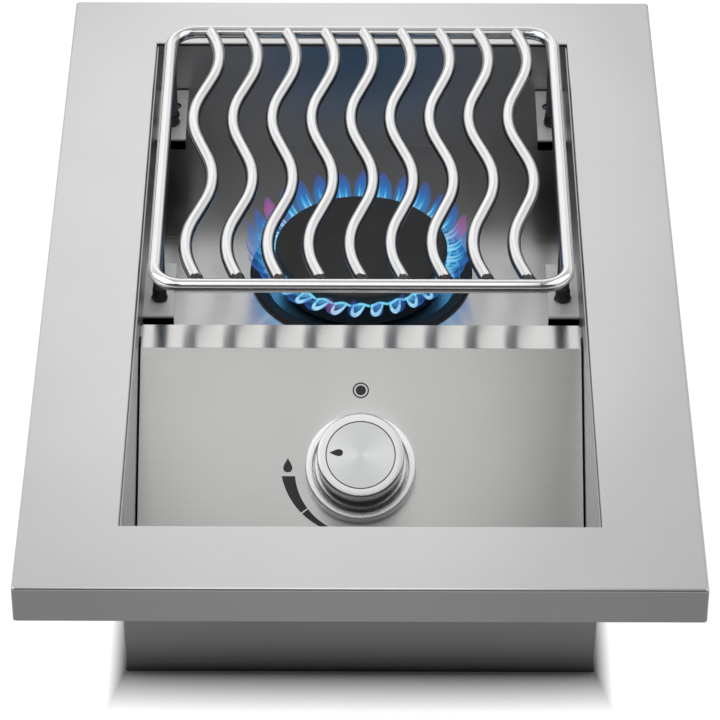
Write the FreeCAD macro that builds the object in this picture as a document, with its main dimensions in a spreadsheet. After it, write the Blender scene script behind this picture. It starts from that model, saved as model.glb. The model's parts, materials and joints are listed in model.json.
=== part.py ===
import FreeCAD, Part
import math
import os
import re
import Sketcher
from FreeCAD import Placement, Rotation, Vector

# Drop-in side burner for an outdoor kitchen, millimetres.
# Frame: +Z up, -Y the front where the cook stands, +X to the right.
# The origin is under the middle of the trim frame, level with the bottom of the housing.

# Driving dimensions. Every one becomes a cell of the sheet, under the same name.
SIZES = {
    # Trim frame that lies on the worktop
    "bezel_width": 342.9,
    "bezel_depth": 531.0,
    "bezel_sheet": 1.2,
    "lip_height": 21.0,
    "hem_width": 12.0,
    "side_flange": 50.6,
    "front_flange": 48.0,
    "rear_flange": 45.5,
    "collar_depth": 14.0,
    "bezel_edge_round": 1.6,
    "opening_edge_round": 0.8,
    "bezel_corner_round": 2.0,
    # Housing that hangs in the cut-out
    "box_height": 98.5,
    "box_sheet": 1.0,
    "box_drop": 1.6,
    "box_corner_round": 2.0,
    "hatch_width": 150.0,
    "hatch_depth": 84.0,
    "hatch_middle": -84.0,
    "vent_length": 36.0,
    "vent_width": 5.0,
    "vent_pitch": 14.0,
    "vent_count": 6,
    "vent_row_gap": 96.0,
    # Pan that closes the burner chamber below
    "pan_sheet": 0.8,
    "pan_floor": 25.5,
    "pan_side_gap": 0.2,
    "pan_flange": 3.2,
    "pan_rest": 9.0,
    "pan_hole_gap": 0.8,
    # Control panel: a level ledge, then the sloped fascia
    "panel_sheet": 1.2,
    "panel_side_gap": 1.15,
    "panel_slope": 36.0,
    "ledge_level": 76.5,
    "ledge_rear": -24.1,
    "ledge_front": -44.5,
    "panel_foot_level": 2.2,
    "panel_foot_length": 14.0,
    "panel_return": 12.0,
    "panel_side_set": 1.0,
    "panel_bend_round": 1.1,
    "stem_hole_radius": 7.0,
    "knob_run": 67.3,
    # Grate of round rod
    "rod_radius": 3.8,
    "bar_radius": 3.7,
    "grate_offset": 8.85,
    "grate_side_gap": 9.6,
    "grate_length": 247.3,
    "grate_level": 111.5,
    "grate_corner_radius": 15.5,
    "bar_count": 9,
    "bar_edge_gap": 22.05,
    "wave_swing": 12.6,
    "wave_angle": 18.2,
    "first_wave": 29.3,
    "last_wave": 37.4,
    "leg_radius": 3.4,
    "leg_from_ledge": 36.8,
    "leg_from_rear": 35.8,
    # Shelves on the side walls that carry the legs
    "shelf_level": 66.5,
    "shelf_sheet": 1.5,
    "shelf_reach": 16.9,
    "shelf_front_length": 47.8,
    "shelf_rear_length": 49.9,
    "shelf_bend_round": 2.2,
    "shelf_leg_place": 15.3,
    "shelf_hole_place": 33.2,
    "shelf_hole_reach": 9.3,
    "shelf_hole_radius": 4.0,
    "shelf_front_drop": 8.0,
    "shelf_wall_drop": 16.0,
    # Trim ring and drip bowl round the burner
    "burner_offset": 6.45,
    "ring_inner_radius": 57.0,
    "ring_width": 6.8,
    "ring_height": 2.4,
    "ring_seat": 0.8,
    "ring_bevel": 0.8,
    "bowl_sheet": 0.8,
    "bowl_rim_set": 0.4,
    "bowl_flange_width": 4.8,
    "bowl_wall_slant": 3.0,
    "bowl_depth": 4.5,
    "bowl_hole_radius": 24.4,
    # Burner: base casting, ported head and cap
    "base_foot": 2.8,
    "base_radius": 32.0,
    "base_wall": 3.2,
    "base_bevel": 2.0,
    "neck_radius": 24.0,
    "neck_bore_radius": 20.0,
    "neck_top": 26.0,
    "socket_length": 10.0,
    "bore_start": 18.0,
    "base_screw_circle": 28.2,
    "base_screw_radius": 2.0,
    "base_screw_head_radius": 3.4,
    "base_screw_head_height": 2.2,
    "base_screw_length": 9.0,
    "head_bowl_gap": 8.1,
    "head_wall": 3.0,
    "head_floor": 2.5,
    "head_foot": 23.5,
    "head_top": 40.5,
    "spigot_radius": 19.85,
    "spigot_wall": 2.2,
    "spigot_drop": 5.0,
    "port_count": 30,
    "port_width": 2.4,
    "port_depth": 5.0,
    "cap_overhang": 3.7,
    "cap_height": 5.5,
    "cap_edge_round": 2.0,
    "cap_ring_gap": 0.3,
    "cap_ring_wall": 3.0,
    "cap_ring_drop": 3.0,
    # Mixing tube, air shutter and orifice, all on one level line
    "gas_level": 11.6,
    "tube_radius": 7.2,
    "tube_wall": 1.0,
    "tube_mouth": -62.0,
    "tube_entry": 14.0,
    "window_length": 12.0,
    "window_height": 8.0,
    "window_place": 6.0,
    "shutter_gap": 0.08,
    "shutter_wall": 0.9,
    "shutter_length": 24.0,
    "shutter_lap": 2.0,
    "shutter_turn": 50.0,
    "slot_place": 20.0,
    "slot_width": 3.6,
    "shutter_screw_radius": 1.5,
    "shutter_screw_head_radius": 2.8,
    "shutter_screw_head_height": 1.6,
    "shutter_screw_grip": 1.6,
    "shutter_head_gap": 0.1,
    "jet_radius": 4.0,
    "jet_length": 8.0,
    "jet_bore_radius": 0.6,
    "jet_shank_radius": 3.4,
    "jet_shank_length": 4.5,
    "jet_feed_radius": 2.0,
    "jet_nose_wall": 2.0,
    "jet_hex_across": 11.0,
    "jet_hex_height": 5.0,
    "jet_gap": 0.1,
    # Gas valve, set square to the fascia; depths are measured in from its outer face
    "valve_top": 8.0,
    "valve_depth": 36.0,
    "barrel_radius": 10.0,
    "flange_width": 36.0,
    "flange_height": 22.0,
    "flange_thick": 4.0,
    "flange_round": 4.0,
    "outlet_radius": 7.0,
    "outlet_length": 11.0,
    "inlet_radius": 7.6,
    "inlet_length": 22.0,
    "gas_bore_radius": 2.5,
    "spring_room_radius": 7.2,
    "plug_top": 18.0,
    "plug_bottom": 35.0,
    "plug_top_radius": 6.6,
    "plug_bottom_radius": 5.0,
    "plug_gap": 0.05,
    "plug_key_depth": 9.0,
    "plug_way_radius": 2.1,
    "plug_low_radius": 0.5,
    "plug_out_radius": 2.6,
    "key_gap": 0.15,
    "bonnet_thick": 2.8,
    "boss_radius": 4.0,
    "bonnet_screw_place": 12.5,
    "bonnet_screw_drop": 6.8,
    "bonnet_screw_radius": 1.5,
    "bonnet_screw_head_radius": 2.6,
    "bonnet_screw_head_height": 1.6,
    "bonnet_screw_length": 5.0,
    "stem_radius": 3.0,
    "stem_flat": 2.2,
    "stem_gap": 0.06,
    "stem_top": 20.0,
    "stem_bottom": 21.5,
    "collar_radius": 6.4,
    "collar_thick": 1.6,
    "spring_radius": 5.4,
    "spring_wire_radius": 0.45,
    "spring_turns": 4,
    # Knob and the raised ring round it
    "knob_ring_radius": 29.5,
    "knob_ring_bore": 24.5,
    "knob_ring_height": 8.0,
    "knob_ring_base": 1.2,
    "knob_ring_hole": 6.0,
    "ring_shoulder_drop": 2.6,
    "ring_shoulder_set": 0.7,
    "ring_crown_drop": 0.9,
    "ring_crown_set": 2.0,
    "ring_mouth_bevel": 1.2,
    "knob_screw_place": 15.0,
    "knob_screw_radius": 1.9,
    "knob_screw_head_radius": 3.4,
    "knob_screw_head_height": 1.6,
    "knob_screw_length": 6.0,
    "knob_foot": 6.8,
    "skirt_radius": 23.6,
    "skirt_height": 2.4,
    "waist_radius": 21.4,
    "waist_height": 6.2,
    "knob_radius": 22.9,
    "knob_top": 30.5,
    "knob_edge_round": 1.6,
    "knob_wall": 2.2,
    "hub_radius": 6.2,
    "hub_lift": 1.2,
    "face_radius": 18.3,
    "face_recess": 1.4,
    "face_crown": 0.4,
    "face_gap": 0.15,
    # Spark electrode beside the burner head
    "spark_head_gap": 3.8,
    "spark_bearing": 68.0,
    "ceramic_radius": 2.4,
    "ceramic_top": 33.0,
    "ceramic_bottom": 8.0,
    "ceramic_collar_radius": 3.9,
    "ceramic_collar_height": 5.0,
    "ceramic_bevel": 0.8,
    "clip_thick": 0.6,
    "spark_rod_radius": 0.8,
    "spark_rod_top": 38.0,
    "spark_rod_bottom": 4.0,
    # Supply pipe to the rear of the housing
    "pipe_radius": 4.8,
    "pipe_wall": 0.9,
    "pipe_wall_gap": 25.85,
    "pipe_bend_radius": 22.0,
    "pipe_lap": 6.0,
    "pipe_gap": 0.1,
    "bulkhead_radius": 8.8,
    "bulkhead_out": 7.6,
    "fitting_radius": 7.9,
    "fitting_relief": 1.5,
    "fitting_relief_depth": 0.7,
    "fitting_thread": 14.0,
    "fitting_bore_radius": 3.6,
    "fitting_in": 14.0,
    "fitting_hex_across": 20.6,
    "fitting_hex_height": 7.0,
    "fitting_taper": 4.0,
    "fitting_tip_wall": 0.8,
    "nut_height": 6.0,
    "wall_hole_gap": 0.3,
    # Screws that hold the foot of the fascia
    "foot_screw_inset": 28.7,
    "foot_screw_set": 9.6,
    "foot_screw_radius": 2.0,
    "foot_screw_head_radius": 3.8,
    "foot_screw_head_height": 2.0,
    # Clearances shared by many pieces, and how far a cut starts outside the metal
    "screw_gap": 0.15,
    "seat_gap": 0.05,
    "end_gap": 0.2,
    "overcut": 1.0,
}

# Places worked out from the sizes above; each name stands for its formula in brackets.
PLACES = {
    "opening_half": "bezel_width / 2 - side_flange",
    "opening_front": "front_flange - bezel_depth / 2",
    "opening_rear": "bezel_depth / 2 - rear_flange",
    "inner_half": "opening_half - box_sheet",
    "inner_front": "opening_front + box_sheet",
    "inner_rear": "opening_rear - box_sheet",
    "panel_width": "2 * (inner_half - panel_side_gap)",
    "foot_screw_place": "panel_width / 2 - foot_screw_inset",
    "knob_y": "ledge_front - knob_run * cos(panel_slope * 1 deg)",
    "knob_z": "ledge_level - knob_run * sin(panel_slope * 1 deg)",
    "gas_depth": "(knob_z - gas_level) / cos(panel_slope * 1 deg)",
    "gas_y": "knob_y + gas_depth * sin(panel_slope * 1 deg)",
    "foot_y": "ledge_front - (ledge_level - panel_foot_level) / tan(panel_slope * 1 deg)",
    "slope_shift": "panel_sheet * tan(panel_slope * 1 deg / 2)",
    "ring_outer_radius": "ring_inner_radius + ring_width",
    "bowl_rim_radius": "ring_inner_radius - bowl_rim_set",
    "bowl_flange_radius": "bowl_rim_radius + bowl_flange_width",
    "bowl_flat_radius": "bowl_rim_radius - bowl_wall_slant",
    "pan_hole_radius": "bowl_rim_radius + pan_hole_gap",
    "head_radius": "bowl_flat_radius - head_bowl_gap",
    "cap_radius": "head_radius + cap_overhang",
    "cap_ring_radius": "head_radius - head_wall - cap_ring_gap",
    "spark_circle": "head_radius + spark_head_gap",
    "bowl_floor": "pan_floor - bowl_depth",
    "bowl_under": "bowl_floor - bowl_sheet",
    "grate_width": "2 * (opening_half - grate_side_gap)",
    "bar_pitch": "(grate_width - 2 * bar_edge_gap) / (bar_count - 1)",
    "grate_middle": "(ledge_rear + inner_rear) / 2 - grate_offset",
    "burner_middle": "(ledge_rear + inner_rear) / 2 - burner_offset",
    "wave_half_length": "(grate_length - first_wave - last_wave) / 3",
    "pipe_side": "inner_half - pipe_wall_gap",
    "bend_radius": "(wave_half_length * sin(wave_angle * 1 deg)"
                   " - wave_swing * cos(wave_angle * 1 deg)) / (2 - 2 * cos(wave_angle * 1 deg))",
}

doc = FreeCAD.newDocument("side_burner")
sheet = doc.addObject("Spreadsheet::Sheet", "Sizes")
for row, (name, number) in enumerate(SIZES.items(), start=1):
    sheet.set("A%d" % row, name)
    sheet.set("B%d" % row, str(number))
    sheet.setAlias("B%d" % row, name)
probe = doc.addObject("App::FeaturePython", "Probe")
probe.addProperty("App::PropertyFloat", "Amount")
doc.recompute()

PARTS = []


def bind(text):
    """Turn a formula in plain size names into one that reads the sheet."""
    def spell(match):
        word = match.group()
        if word in PLACES:
            return "(" + bind(PLACES[word]) + ")"
        return "Sizes." + word if word in SIZES else word
    return re.sub(r"[a-z_][a-z0-9_]*", spell, text)


def amount(text):
    """What a formula comes to, for the places where a test of edges or a first guess needs it."""
    probe.setExpression("Amount", bind(text))
    doc.recompute()
    return probe.Amount


def plane_of(body, role):
    return [item for item in body.Origin.OriginFeatures if item.Role == role][0]


def new_body(label):
    body = doc.addObject("PartDesign::Body", label)
    body.Label = label
    PARTS.append(body)
    return body


def move(item, x="0", y="0", z="0"):
    for axis, text in zip("xyz", (x, y, z)):
        item.setExpression("Placement.Base." + axis, bind(text))


def lean(item, axis, angle):
    """Turn an object about an axis through its own origin."""
    item.Placement = Placement(Vector(), Rotation(Vector(*axis), 1))
    item.setExpression("Placement.Rotation.Angle", bind(angle))


def on_knob_axis(item, depth="0"):
    """Stand an object on the knob's axis, its own Z pointing out of the fascia."""
    lean(item, (1, 0, 0), "panel_slope")
    move(item, "0", "knob_y + (%s) * sin(panel_slope * 1 deg)" % depth,
         "knob_z - (%s) * cos(panel_slope * 1 deg)" % depth)


def sketch_on(body, name, role="XY_Plane", lift="0"):
    """A sketch on one of the body's own planes: XY seen from above, XZ from the front, YZ from the right."""
    sketch = body.newObject("Sketcher::SketchObject", name)
    sketch.AttachmentSupport = (plane_of(body, role), [""])
    sketch.MapMode = "FlatFace"
    sketch.setExpression("AttachmentOffset.Base.z", bind(lift))
    return sketch


def fix_point(sketch, piece, end, x, y):
    place = sketch.getPoint(piece, end)
    for kind, here, text in (("DistanceX", place.x, x), ("DistanceY", place.y, y)):
        row = sketch.addConstraint(Sketcher.Constraint(kind, -1, 1, piece, end, here))
        sketch.setExpression("Constraints[%d]" % row, bind(text))


def polygon(sketch, points):
    """A closed outline; each corner is held to the origin by two bound distances."""
    first = sketch.GeometryCount
    total = len(points)
    ring = [Vector(10 * math.cos(math.tau * i / total), 10 * math.sin(math.tau * i / total), 0)
            for i in range(total)]
    for i in range(total):
        sketch.addGeometry(Part.LineSegment(ring[i], ring[(i + 1) % total]))
    for i in range(total):
        sketch.addConstraint(Sketcher.Constraint("Coincident", first + i, 2, first + (i + 1) % total, 1))
    for i, (x, y) in enumerate(points):
        fix_point(sketch, first + i, 1, x, y)


def rectangle(sketch, left, right, low, high):
    polygon(sketch, [(left, low), (right, low), (right, high), (left, high)])


def circle(sketch, x, y, radius):
    row = sketch.addGeometry(Part.Circle(Vector(1, 1, 0), Vector(0, 0, 1), 5))
    fix_point(sketch, row, 3, x, y)
    size = sketch.addConstraint(Sketcher.Constraint("Radius", row, 5))
    sketch.setExpression("Constraints[%d]" % size, bind(radius))


def check_solid(body, text):
    doc.recompute()
    if body.Shape.isNull() or not body.Shape.isValid():
        raise RuntimeError("%s failed at %s" % (body.Label, text))


def pad(body, sketch, length, both_ways=False, other_way=False):
    feature = body.newObject("PartDesign::Pad", sketch.Name + "_pad")
    feature.Profile = sketch
    feature.setExpression("Length", bind(length))
    feature.Midplane = both_ways
    feature.Reversed = other_way
    check_solid(body, feature.Name)
    return feature


def pocket(body, sketch, length=None, both_ways=False, other_way=False):
    """Cut a sketch into the body, and make sure that something was cut."""
    before = body.Shape.Volume
    feature = body.newObject("PartDesign::Pocket", sketch.Name + "_cut")
    feature.Profile = sketch
    if length is None:
        feature.Type = "ThroughAll"
    else:
        feature.setExpression("Length", bind(length))
    feature.Midplane = both_ways
    feature.Reversed = other_way
    check_solid(body, feature.Name)
    if body.Shape.Volume >= before:
        raise RuntimeError("%s cut nothing" % feature.Name)
    return feature


def revolve(body, sketch, cut=False, angle="360"):
    kind = "PartDesign::Groove" if cut else "PartDesign::Revolution"
    feature = body.newObject(kind, sketch.Name + "_turned")
    feature.Profile = sketch
    feature.ReferenceAxis = (sketch, ["V_Axis"])
    feature.setExpression("Angle", bind(angle))
    check_solid(body, feature.Name)
    return feature


def polar_pattern(body, feature, count):
    pattern = body.newObject("PartDesign::PolarPattern", feature.Name + "_ring")
    pattern.Originals = [feature]
    pattern.Axis = (plane_of(body, "Z_Axis"), [""])
    pattern.Angle = 360
    pattern.setExpression("Occurrences", bind(count))
    body.Tip = pattern
    check_solid(body, pattern.Name)
    return pattern


def row_pattern(body, feature, role, length, count):
    pattern = body.newObject("PartDesign::LinearPattern", feature.Name + "_row")
    pattern.Originals = [feature]
    pattern.Direction = (plane_of(body, role), [""])
    pattern.setExpression("Length", bind(length))
    pattern.setExpression("Occurrences", bind(count))
    body.Tip = pattern
    check_solid(body, pattern.Name)
    return pattern


def soften(body, name, radius, chosen):
    """Round the edges of the body that the test picks."""
    doc.recompute()
    last = body.Tip
    edges = ["Edge%d" % (i + 1) for i, edge in enumerate(last.Shape.Edges) if chosen(edge)]
    if not edges:
        raise RuntimeError("no edge to round on " + name)
    feature = body.newObject("PartDesign::Fillet", name)
    feature.Base = (last, edges)
    feature.setExpression("Radius", bind(radius))
    check_solid(body, name)
    return feature


def spans(edge, axis):
    """How far an edge reaches along an axis."""
    box = edge.BoundBox
    return {"x": box.XLength, "y": box.YLength, "z": box.ZLength}[axis]


def at(edge, axis, number):
    """Whether an edge lies wholly at one level."""
    box = edge.BoundBox
    low, high = {"x": (box.XMin, box.XMax), "y": (box.YMin, box.YMax), "z": (box.ZMin, box.ZMax)}[axis]
    return abs(low - number) < 0.01 and abs(high - number) < 0.01


def bezel_frame():
    """Folded trim frame: flat top, lip all round with a return hem, collar round the opening."""
    body = new_body("bezel_frame")
    half, front, rear = "bezel_width / 2", "-bezel_depth / 2", "bezel_depth / 2"

    def ring(name, lift, outer, inner, height):
        sketch = sketch_on(body, name, lift=lift)
        rectangle(sketch, *outer)
        rectangle(sketch, *inner)
        pad(body, sketch, height)

    def inset(text):
        return ("-(%s) + (%s)" % (half, text), "%s - (%s)" % (half, text),
                "%s + (%s)" % (front, text), "%s - (%s)" % (rear, text))

    def opening(text):
        return ("-opening_half - (%s)" % text, "opening_half + (%s)" % text,
                "opening_front - (%s)" % text, "opening_rear + (%s)" % text)

    ring("bezel_top", "box_height - bezel_sheet", inset("0"), opening("0"), "bezel_sheet")
    ring("bezel_lip", "box_height - lip_height", inset("0"), inset("bezel_sheet"), "lip_height - bezel_sheet")
    ring("bezel_hem", "box_height - lip_height", inset("0"), inset("hem_width"), "bezel_sheet")
    ring("bezel_collar", "box_height - collar_depth", opening("bezel_sheet"), opening("0"), "collar_depth")
    top, half_width, half_depth = SIZES["box_height"], SIZES["bezel_width"] / 2, SIZES["bezel_depth"] / 2
    margin = SIZES["rear_flange"] / 2

    def corner(edge):
        return (spans(edge, "z") > 1 and abs(abs(edge.CenterOfMass.x) - half_width) < 0.01
                and abs(abs(edge.CenterOfMass.y) - half_depth) < 0.01)

    def on_rim(edge):
        box = edge.BoundBox
        reach_x, reach_y = max(abs(box.XMin), abs(box.XMax)), max(abs(box.YMin), abs(box.YMax))
        return reach_x > half_width - margin or reach_y > half_depth - margin

    soften(body, "bezel_corners", "bezel_corner_round", corner)
    soften(body, "bezel_rim", "bezel_edge_round", lambda edge: at(edge, "z", top) and on_rim(edge))
    soften(body, "bezel_mouth", "opening_edge_round", lambda edge: at(edge, "z", top) and not on_rim(edge))


def burner_box():
    """Open-topped housing: four walls and a floor with a hatch under the valve and rows of vents."""
    body = new_body("burner_box")
    outside = sketch_on(body, "box_outside")
    rectangle(outside, "-opening_half", "opening_half", "opening_front", "opening_rear")
    pad(body, outside, "box_height - box_drop")
    half, low_y, high_y = amount("opening_half"), amount("opening_front"), amount("opening_rear")
    inside = sketch_on(body, "box_inside", lift="box_sheet")
    rectangle(inside, "-inner_half", "inner_half", "inner_front", "inner_rear")
    pocket(body, inside, other_way=True)
    hatch = sketch_on(body, "box_hatch")
    rectangle(hatch, "-hatch_width / 2", "hatch_width / 2",
              "hatch_middle - hatch_depth / 2", "hatch_middle + hatch_depth / 2")
    pocket(body, hatch, "box_sheet * 2", both_ways=True)
    vents = sketch_on(body, "box_vents")
    first = "burner_middle - vent_pitch * (vent_count - 1) / 2"
    for side in ("-", ""):
        near, far = "%s(vent_row_gap / 2)" % side, "%s(vent_row_gap / 2 + vent_length)" % side
        rectangle(vents, near, far, first + " - vent_width / 2", first + " + vent_width / 2")
    row_pattern(body, pocket(body, vents, "box_sheet * 2", both_ways=True), "Y_Axis",
                "vent_pitch * (vent_count - 1)", "vent_count")
    inlet = sketch_on(body, "box_inlet", "XZ_Plane", "-inner_rear")
    circle(inlet, "pipe_side", "gas_level", "bulkhead_radius + wall_hole_gap")
    pocket(body, inlet, "box_sheet * 4", both_ways=True)
    screws = sketch_on(body, "box_screws")
    for side in ("-", ""):
        circle(screws, side + "foot_screw_place", "foot_y + foot_screw_set", "foot_screw_radius + screw_gap")
    pocket(body, screws, "box_sheet * 2", both_ways=True)

    def corner(edge):
        middle = edge.CenterOfMass
        return (spans(edge, "z") > SIZES["box_height"] / 2 and abs(abs(middle.x) - half) < 0.01
                and min(abs(middle.y - low_y), abs(middle.y - high_y)) < 0.01)

    soften(body, "box_corners", "box_corner_round - box_sheet", corner)


def fire_pan():
    """Floor and front wall of the burner chamber, folded from one sheet."""
    body = new_body("fire_pan")
    fold = sketch_on(body, "pan_fold", "YZ_Plane")
    low, thick = "pan_floor - pan_sheet", "pan_sheet"
    top = "ledge_level - panel_sheet"
    polygon(fold, [("inner_rear", "pan_floor"), ("ledge_rear", "pan_floor"), ("ledge_rear", top),
                   ("ledge_rear - pan_rest", top), ("ledge_rear - pan_rest", top + " - " + thick),
                   ("ledge_rear - " + thick, top + " - " + thick), ("ledge_rear - " + thick, low),
                   ("inner_rear - " + thick, low), ("inner_rear - " + thick, "pan_floor - pan_flange"),
                   ("inner_rear", "pan_floor - pan_flange")])
    pad(body, fold, "(inner_half - pan_side_gap) * 2", both_ways=True)
    sides = sketch_on(body, "pan_sides", "XZ_Plane", "-inner_rear + pan_flange")
    for side in ("-", ""):
        outer = side + "(inner_half - pan_side_gap)"
        inner = side + "(inner_half - pan_side_gap - pan_sheet)"
        rectangle(sides, outer, inner, "pan_floor - pan_flange", low)
    pad(body, sides, "inner_rear - ledge_rear - pan_flange * 2")
    hole = sketch_on(body, "pan_hole", lift="pan_floor")
    circle(hole, "0", "burner_middle", "pan_hole_radius")
    pocket(body, hole, "pan_sheet * 4", both_ways=True)


def control_panel():
    """Level ledge and sloped fascia with folded sides and a foot, pierced for the stem."""
    body = new_body("control_panel")
    under = "ledge_level - panel_sheet"
    fold = sketch_on(body, "panel_fold", "YZ_Plane")
    bend_y = "ledge_front + slope_shift"
    foot_inner = "foot_y + panel_sheet / sin(panel_slope * 1 deg)"
    polygon(fold, [("ledge_rear", "ledge_level"), ("ledge_front", "ledge_level"),
                   ("foot_y", "panel_foot_level"), ("foot_y", "panel_foot_level - panel_sheet"),
                   ("foot_y + panel_foot_length", "panel_foot_level - panel_sheet"),
                   ("foot_y + panel_foot_length", "panel_foot_level"),
                   (foot_inner, "panel_foot_level"), (bend_y, under), ("ledge_rear", under)])
    pad(body, fold, "panel_width", both_ways=True)
    sides = sketch_on(body, "panel_sides", "YZ_Plane", "panel_width / 2 - panel_sheet")
    drop = "panel_return / sin(panel_slope * 1 deg)"
    polygon(sides, [("ledge_rear - pan_rest - panel_side_set", under), (bend_y, under),
                    (foot_inner, "panel_foot_level"), (foot_inner + " + " + drop, "panel_foot_level"),
                    (bend_y + " + panel_return * tan(panel_slope * 1 deg / 2)", under + " - panel_return"),
                    ("ledge_rear - pan_rest - panel_side_set", under + " - panel_return")])
    mirrored = pad(body, sides, "panel_sheet")
    twin = body.newObject("PartDesign::Mirrored", "panel_sides_twin")
    twin.Originals = [mirrored]
    twin.MirrorPlane = (plane_of(body, "YZ_Plane"), [""])
    body.Tip = twin
    check_solid(body, "panel_sides_twin")
    holes = sketch_on(body, "panel_holes")
    circle(holes, "0", "0", "stem_hole_radius")
    for side in ("-", ""):
        circle(holes, side + "knob_screw_place", "0", "knob_screw_radius + screw_gap")
    holes.AttachmentOffset = Placement(Vector(), Rotation(Vector(1, 0, 0), 1))
    holes.setExpression("AttachmentOffset.Rotation.Angle", bind("panel_slope"))
    holes.setExpression("AttachmentOffset.Base.y", bind("knob_y"))
    holes.setExpression("AttachmentOffset.Base.z", bind("knob_z"))
    pocket(body, holes, "panel_sheet * 4", both_ways=True)
    screws = sketch_on(body, "panel_foot_holes", lift="panel_foot_level")
    for side in ("-", ""):
        circle(screws, side + "foot_screw_place", "foot_y + foot_screw_set", "foot_screw_radius + screw_gap")
    pocket(body, screws, "panel_sheet * 4", both_ways=True)
    bend, level = SIZES["ledge_front"], SIZES["ledge_level"]
    soften(body, "panel_bend", "panel_bend_round",
           lambda edge: at(edge, "y", bend) and at(edge, "z", level))


def shelf(label, side, front, length):
    """Folded shelf on a side wall: it carries one leg of the grate."""
    body = new_body(label)
    wall, tip = "%s * inner_half" % side, "%s * (inner_half - shelf_reach)" % side
    inner = "%s * (inner_half - shelf_sheet)" % side
    fold = sketch_on(body, label + "_fold", "XZ_Plane")
    polygon(fold, [(wall, "shelf_level"), (tip, "shelf_level"), (tip, "shelf_level - shelf_sheet"),
                   (inner, "shelf_level - shelf_sheet"), (inner, "shelf_level - shelf_wall_drop"),
                   (wall, "shelf_level - shelf_wall_drop")])
    pad(body, fold, length, other_way=True)
    apron = sketch_on(body, label + "_apron", "XZ_Plane")
    rectangle(apron, inner, tip, "shelf_level - shelf_front_drop", "shelf_level - shelf_sheet")
    pad(body, apron, "shelf_sheet", other_way=True)
    hole = sketch_on(body, label + "_hole", lift="shelf_level")
    circle(hole, "%s * (inner_half - shelf_hole_reach)" % side, "shelf_hole_place", "shelf_hole_radius")
    pocket(body, hole, "shelf_sheet * 3", both_ways=True)
    soften(body, label + "_bend", "shelf_bend_round",
           lambda edge: abs(edge.CenterOfMass.y) < 0.01 and spans(edge, "x") > SIZES["shelf_reach"] / 2
           and abs(edge.CenterOfMass.z - SIZES["shelf_level"]) < 0.01)
    move(body, y=front)


def grate_ring():
    """Outer rod of the grate: one closed loop with round corners."""
    body = new_body("grate_ring")
    path = sketch_on(body, "ring_path")
    half, length = amount("grate_width") / 2, SIZES["grate_length"] / 2
    turn = SIZES["grate_corner_radius"]
    corners = [(half - turn, length - turn, 0), (turn - half, length - turn, 1),
               (turn - half, turn - length, 2), (half - turn, turn - length, 3)]
    starts = [Vector(half, turn - length, 0), Vector(half - turn, length, 0),
              Vector(-half, length - turn, 0), Vector(turn - half, -length, 0)]
    ends = [Vector(half, length - turn, 0), Vector(turn - half, length, 0),
            Vector(-half, turn - length, 0), Vector(half - turn, -length, 0)]
    for i, (x, y, quarter) in enumerate(corners):
        path.addGeometry(Part.LineSegment(starts[i], ends[i]))
        ball = Part.Circle(Vector(x, y, 0), Vector(0, 0, 1), turn)
        path.addGeometry(Part.ArcOfCircle(ball, quarter * math.pi / 2, (quarter + 1) * math.pi / 2))
    for i in range(4):
        line, arc, after = 2 * i, 2 * i + 1, (2 * i + 2) % 8
        path.addConstraint(Sketcher.Constraint("Tangent", line, 2, arc, 1))
        path.addConstraint(Sketcher.Constraint("Tangent", arc, 2, after, 1))
        size = path.addConstraint(Sketcher.Constraint("Radius", arc, turn))
        path.setExpression("Constraints[%d]" % size, bind("grate_corner_radius"))
    signs = [("", ""), ("-", ""), ("-", "-"), ("", "-")]
    for i, (sx, sy) in enumerate(signs):
        fix_point(path, 2 * i + 1, 3, sx + "(grate_width / 2 - grate_corner_radius)",
                  sy + "(grate_length / 2 - grate_corner_radius)")
    section = sketch_on(body, "ring_section", "XZ_Plane", "grate_length / 2 - grate_corner_radius")
    circle(section, "grate_width / 2", "0", "rod_radius")
    doc.recompute()
    pipe = body.newObject("PartDesign::AdditivePipe", "ring_pipe")
    pipe.Profile = section
    pipe.Spine = (path, ["Edge%d" % (i + 1) for i in range(8)])
    check_solid(body, "ring_pipe")
    move(body, y="grate_middle", z="grate_level")


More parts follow.
